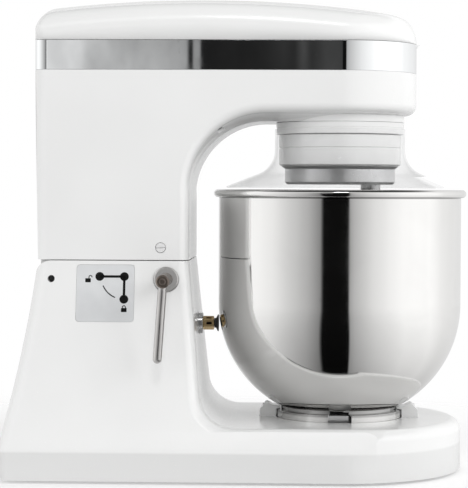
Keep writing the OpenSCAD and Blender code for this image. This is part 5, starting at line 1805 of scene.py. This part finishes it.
@dataclass
class Studio:
    """Pale floor, soft lights, dark cards for the bright metal, and the camera."""

    aim: tuple[float, float] = (-5.0, 0.0)
    distance: float = 1750.0
    height: float = 254.0
    yaw: float = 2.0
    roll: float = 0.24
    focal: float = 1912.0
    horizon: float = 189.0
    world: float = 0.72

    def floor(self) -> None:
        """Pale, partly clear floor that keeps the shadow and fades into the background."""
        form = Form()
        bmesh.ops.create_circle(form.bm, cap_ends=True, cap_tris=False, segments=96, radius=2600)
        bmesh.ops.recalc_face_normals(form.bm, faces=form.bm.faces)
        g = Graph("floor")
        g.set(Base_Color=(0.97, 0.97, 0.97), Roughness=0.9, Specular_IOR_Level=0.1)
        x, y = g.axis(0), g.axis(1)
        reach = (x * x + y * y) ** 0.5 + 0.004 * g.noise(30)
        clear = g.node("ShaderNodeBsdfTransparent")
        feeds = {0: 0.3 + 0.7 * reach.above(0.34, 0.72), 1: g.shader.outputs[0], 2: clear.outputs[0]}
        mix = g.node("ShaderNodeMixShader", None, feeds)
        g.tree.links.new(mix.outputs[0], g.output.inputs["Surface"])
        thing = stand("floor", form.metres("floor"))
        thing.data.materials.append(g.material)

    def glow(self, name: str, form: Form, tone: Callable[[Graph], Feed]) -> None:
        """Stands a surface in the studio that only bright metal and gloss show.

        Args:
            name: Name of the surface.
            form: Its shape, in millimetres.
            tone: Gives its brightness from its node tree.
        """
        g = Graph(name)
        emit = g.node("ShaderNodeEmission", None, {"Color": (1, 1, 1, 1), "Strength": tone(g)})
        g.tree.links.new(emit.outputs[0], g.output.inputs["Surface"])
        thing = stand(name, form.metres(name))
        thing.data.materials.append(g.material)
        thing.visible_camera = False
        thing.visible_diffuse = False
        thing.visible_shadow = False
        thing.visible_transmission = False

    @staticmethod
    def ramp(g: Graph, place: Signal, low: float, high: float, tones: Sequence[Point2]) -> Signal:
        """Brightness that follows a coordinate.

        Args:
            g: Node tree.
            place: The coordinate.
            low: Its lowest value.
            high: Its highest value.
            tones: Coordinate and brightness, up to 2, of each stop.

        Returns:
            The brightness.
        """
        span = high - low
        stops = [((at - low) / span, (tone / 2,) * 3) for at, tone in tones]
        node = g.node("ShaderNodeValToRGB", {"stops": stops}, {0: (place - low) / span})
        return 2 * Signal(g, node.outputs[0])

    def around(self, g: Graph) -> Signal:
        """Brightness by direction from the bowl: dark behind the camera, bright at the sides."""
        x, y = g.axis(0) - BOWL_X * METRE, g.axis(1)
        angle = (180 / math.pi) * x.angle(0 - y)
        tones = [
            (-180, 0.75), (-120, 1.0), (-90, 1.3), (-66, 1.15), (-50, 0.9), (-30, 0.6), (-22.5, 0.43),
            (-17.2, 0.3), (-16.7, 0.005), (7.7, 0.005), (8.2, 0.5), (13, 0.66), (30, 1.0), (58, 1.36),
            (90, 1.4), (110, 1.17), (150, 0.95), (180, 0.75),
        ]
        return self.ramp(g, angle, -180, 180, tones) * (0.96 + 0.08 * g.noise(2))

    def near(self, g: Graph) -> Signal:
        """The same on the ground, dimmer close to the machine."""
        x, y = g.axis(0) - BOWL_X * METRE, g.axis(1)
        return self.around(g) * (1 - 0.055 * (x * x + y * y) ** -0.5)

    def reflections(self) -> None:
        """Everything that is seen in the bright metal alone."""
        wall = Form.turned([(2400, -1300), (2400, 1700)], 96, False).move((BOWL_X, 0, 0))
        self.glow("studio_wall", wall, self.around)
        ground = Form.turned([(112, 1), (2390, 1)], 96, False).move((BOWL_X, 0, 0))
        self.glow("studio_ground", ground, self.near)
        ceiling = Form.turned([(0.5, 1500), (1900, 1500)], 96, False)

        def dim(g: Graph) -> Signal:
            """Dark overhead, light at the rim."""
            x, y = g.axis(0), g.axis(1)
            return 0.05 + 0.95 * ((x * x + y * y) ** 0.5).above(1.0, 1.7)

        self.glow("studio_ceiling", ceiling, dim)
        tones = [
            (-560, 0.95), (-440, 0.78), (-344, 0.60), (-244, 0.47), (-172, 0.43), (-169, 0.01),
            (-161.5, 0.01), (-160, 0.36), (-147, 0.30), (-144, 0.012), (20, 0.03), (43, 0.02), (60, 0.07),
            (75, 0.03), (104, 0.06), (190, 0.035),
        ]
        left, right = tones[0][0], tones[-1][0]

        def streaks(g: Graph) -> Signal:
            """Light to dark along the card, a little cloudy."""
            level = self.ramp(g, g.axis(0) * 1000, left, right, tones)
            return level * (0.4 + 1.2 * g.noise(14, 4, (1, 1, 0.4)))

        self.glow("band_card", Form.prism(box(left, right, 430, 640), -2204, -2200, Axis.Y), streaks)

    def lamp(
        self,
        name: str,
        place: Sequence[float],
        aim: Sequence[float],
        size: float,
        power: float,
        seen: bool = False,
    ) -> None:
        """Square soft light.

        Args:
            name: Name of the lamp.
            place: Its centre, metres.
            aim: Point that it faces.
            size: Side of the square.
            power: Watts.
            seen: Whether gloss shows it.
        """
        data = bpy.data.lights.new(name, "AREA")
        data.shape = "SQUARE"
        data.size = size
        data.energy = power
        lamp = stand(name, data)
        lamp.location = place
        lamp.visible_glossy = seen
        lamp.rotation_euler = (Vector(aim) - Vector(place)).to_track_quat("-Z", "Y").to_euler()

    def sky(self) -> None:
        """White to the camera and to metal and glass, a plain level as light."""
        world = bpy.data.worlds.new("studio")
        world.use_nodes = True
        bpy.context.scene.world = world
        tree = world.node_tree
        tree.nodes.clear()
        path = tree.nodes.new("ShaderNodeLightPath")
        seen = path.outputs["Is Camera Ray"]
        for ray in ("Is Glossy Ray", "Is Transmission Ray"):
            either = tree.nodes.new("ShaderNodeMath")
            either.operation = "MAXIMUM"
            tree.links.new(seen, either.inputs[0])
            tree.links.new(path.outputs[ray], either.inputs[1])
            seen = either.outputs[0]
        level = tree.nodes.new("ShaderNodeMapRange")
        level.inputs["To Min"].default_value = self.world
        level.inputs["To Max"].default_value = 1.0
        tree.links.new(seen, level.inputs["Value"])
        back = tree.nodes.new("ShaderNodeBackground")
        back.inputs["Color"].default_value = (1, 1, 1, 1)
        tree.links.new(level.outputs[0], back.inputs["Strength"])
        out = tree.nodes.new("ShaderNodeOutputWorld")
        tree.links.new(back.outputs[0], out.inputs["Surface"])

    def camera(self) -> None:
        """Camera nearly square to the clamp's side, level with the bowl's rim."""
        yaw, roll = math.radians(self.yaw), math.radians(self.roll)
        away = Vector((math.sin(yaw), -math.cos(yaw), 0))
        place = Vector((self.aim[0], self.aim[1], 0)) + away * self.distance
        place.z = self.height
        pitch = math.atan((VIEW_SIZE[1] / 2 - self.horizon) / self.focal)
        level_right = Vector((math.cos(yaw), math.sin(yaw), 0))
        back = away * math.cos(pitch) + UP * math.sin(pitch)
        level_up = back.cross(level_right)
        right = level_right * math.cos(roll) + level_up * math.sin(roll)
        up = level_up * math.cos(roll) - level_right * math.sin(roll)
        data = bpy.data.cameras.new("camera")
        data.sensor_fit = "HORIZONTAL"
        data.sensor_width = 36.0
        data.lens = self.focal * data.sensor_width / VIEW_SIZE[0]
        data.clip_start, data.clip_end = 0.05, 50
        camera = stand("camera", data)
        turn = Matrix((right, up, back)).transposed().to_4x4()
        camera.matrix_world = Matrix.Translation(place * METRE) @ turn
        bpy.context.scene.camera = camera

    def build(self) -> None:
        """Sets everything up."""
        bpy.context.scene.view_settings.view_transform = "Standard"
        self.sky()
        self.floor()
        self.lamp("key", (1.9, -1.2, 1.25), (0.02, 0, 0.22), 1.3, 17)
        self.lamp("fill", (-1.5, -1.6, 0.9), (0, 0, 0.2), 1.4, 5)
        self.lamp("back_right", (1.3, 0.9, 0.7), (0.05, 0, 0.2), 0.8, 5)
        self.lamp("top_front", (0.1, -1.3, 1.5), (0.05, 0, 0.25), 0.35, 3, True)
        self.reflections()
        self.camera()


def main() -> None:
    """Builds the machine and its studio."""
    logging.basicConfig(level=logging.INFO, format="%(name)s: %(message)s")
    workshop = Workshop(frame["nodes"])
    parts = [
        BaseCasting, UpperHousing, TopCover, BrightBand, TurnedParts, MixingBowl, SplashGuard, FlatBeater,
        ClampLever, BowlStop, LabelPlate, SmallFittings,
    ]
    for part in parts:
        part(workshop).build()
    for finish, names in KEPT.items():
        for name in names:
            workshop.keep(name, finish)
    Studio().build()
    LOG.info("%d new pieces", workshop.count)


if __name__ == "__main__":
    main()
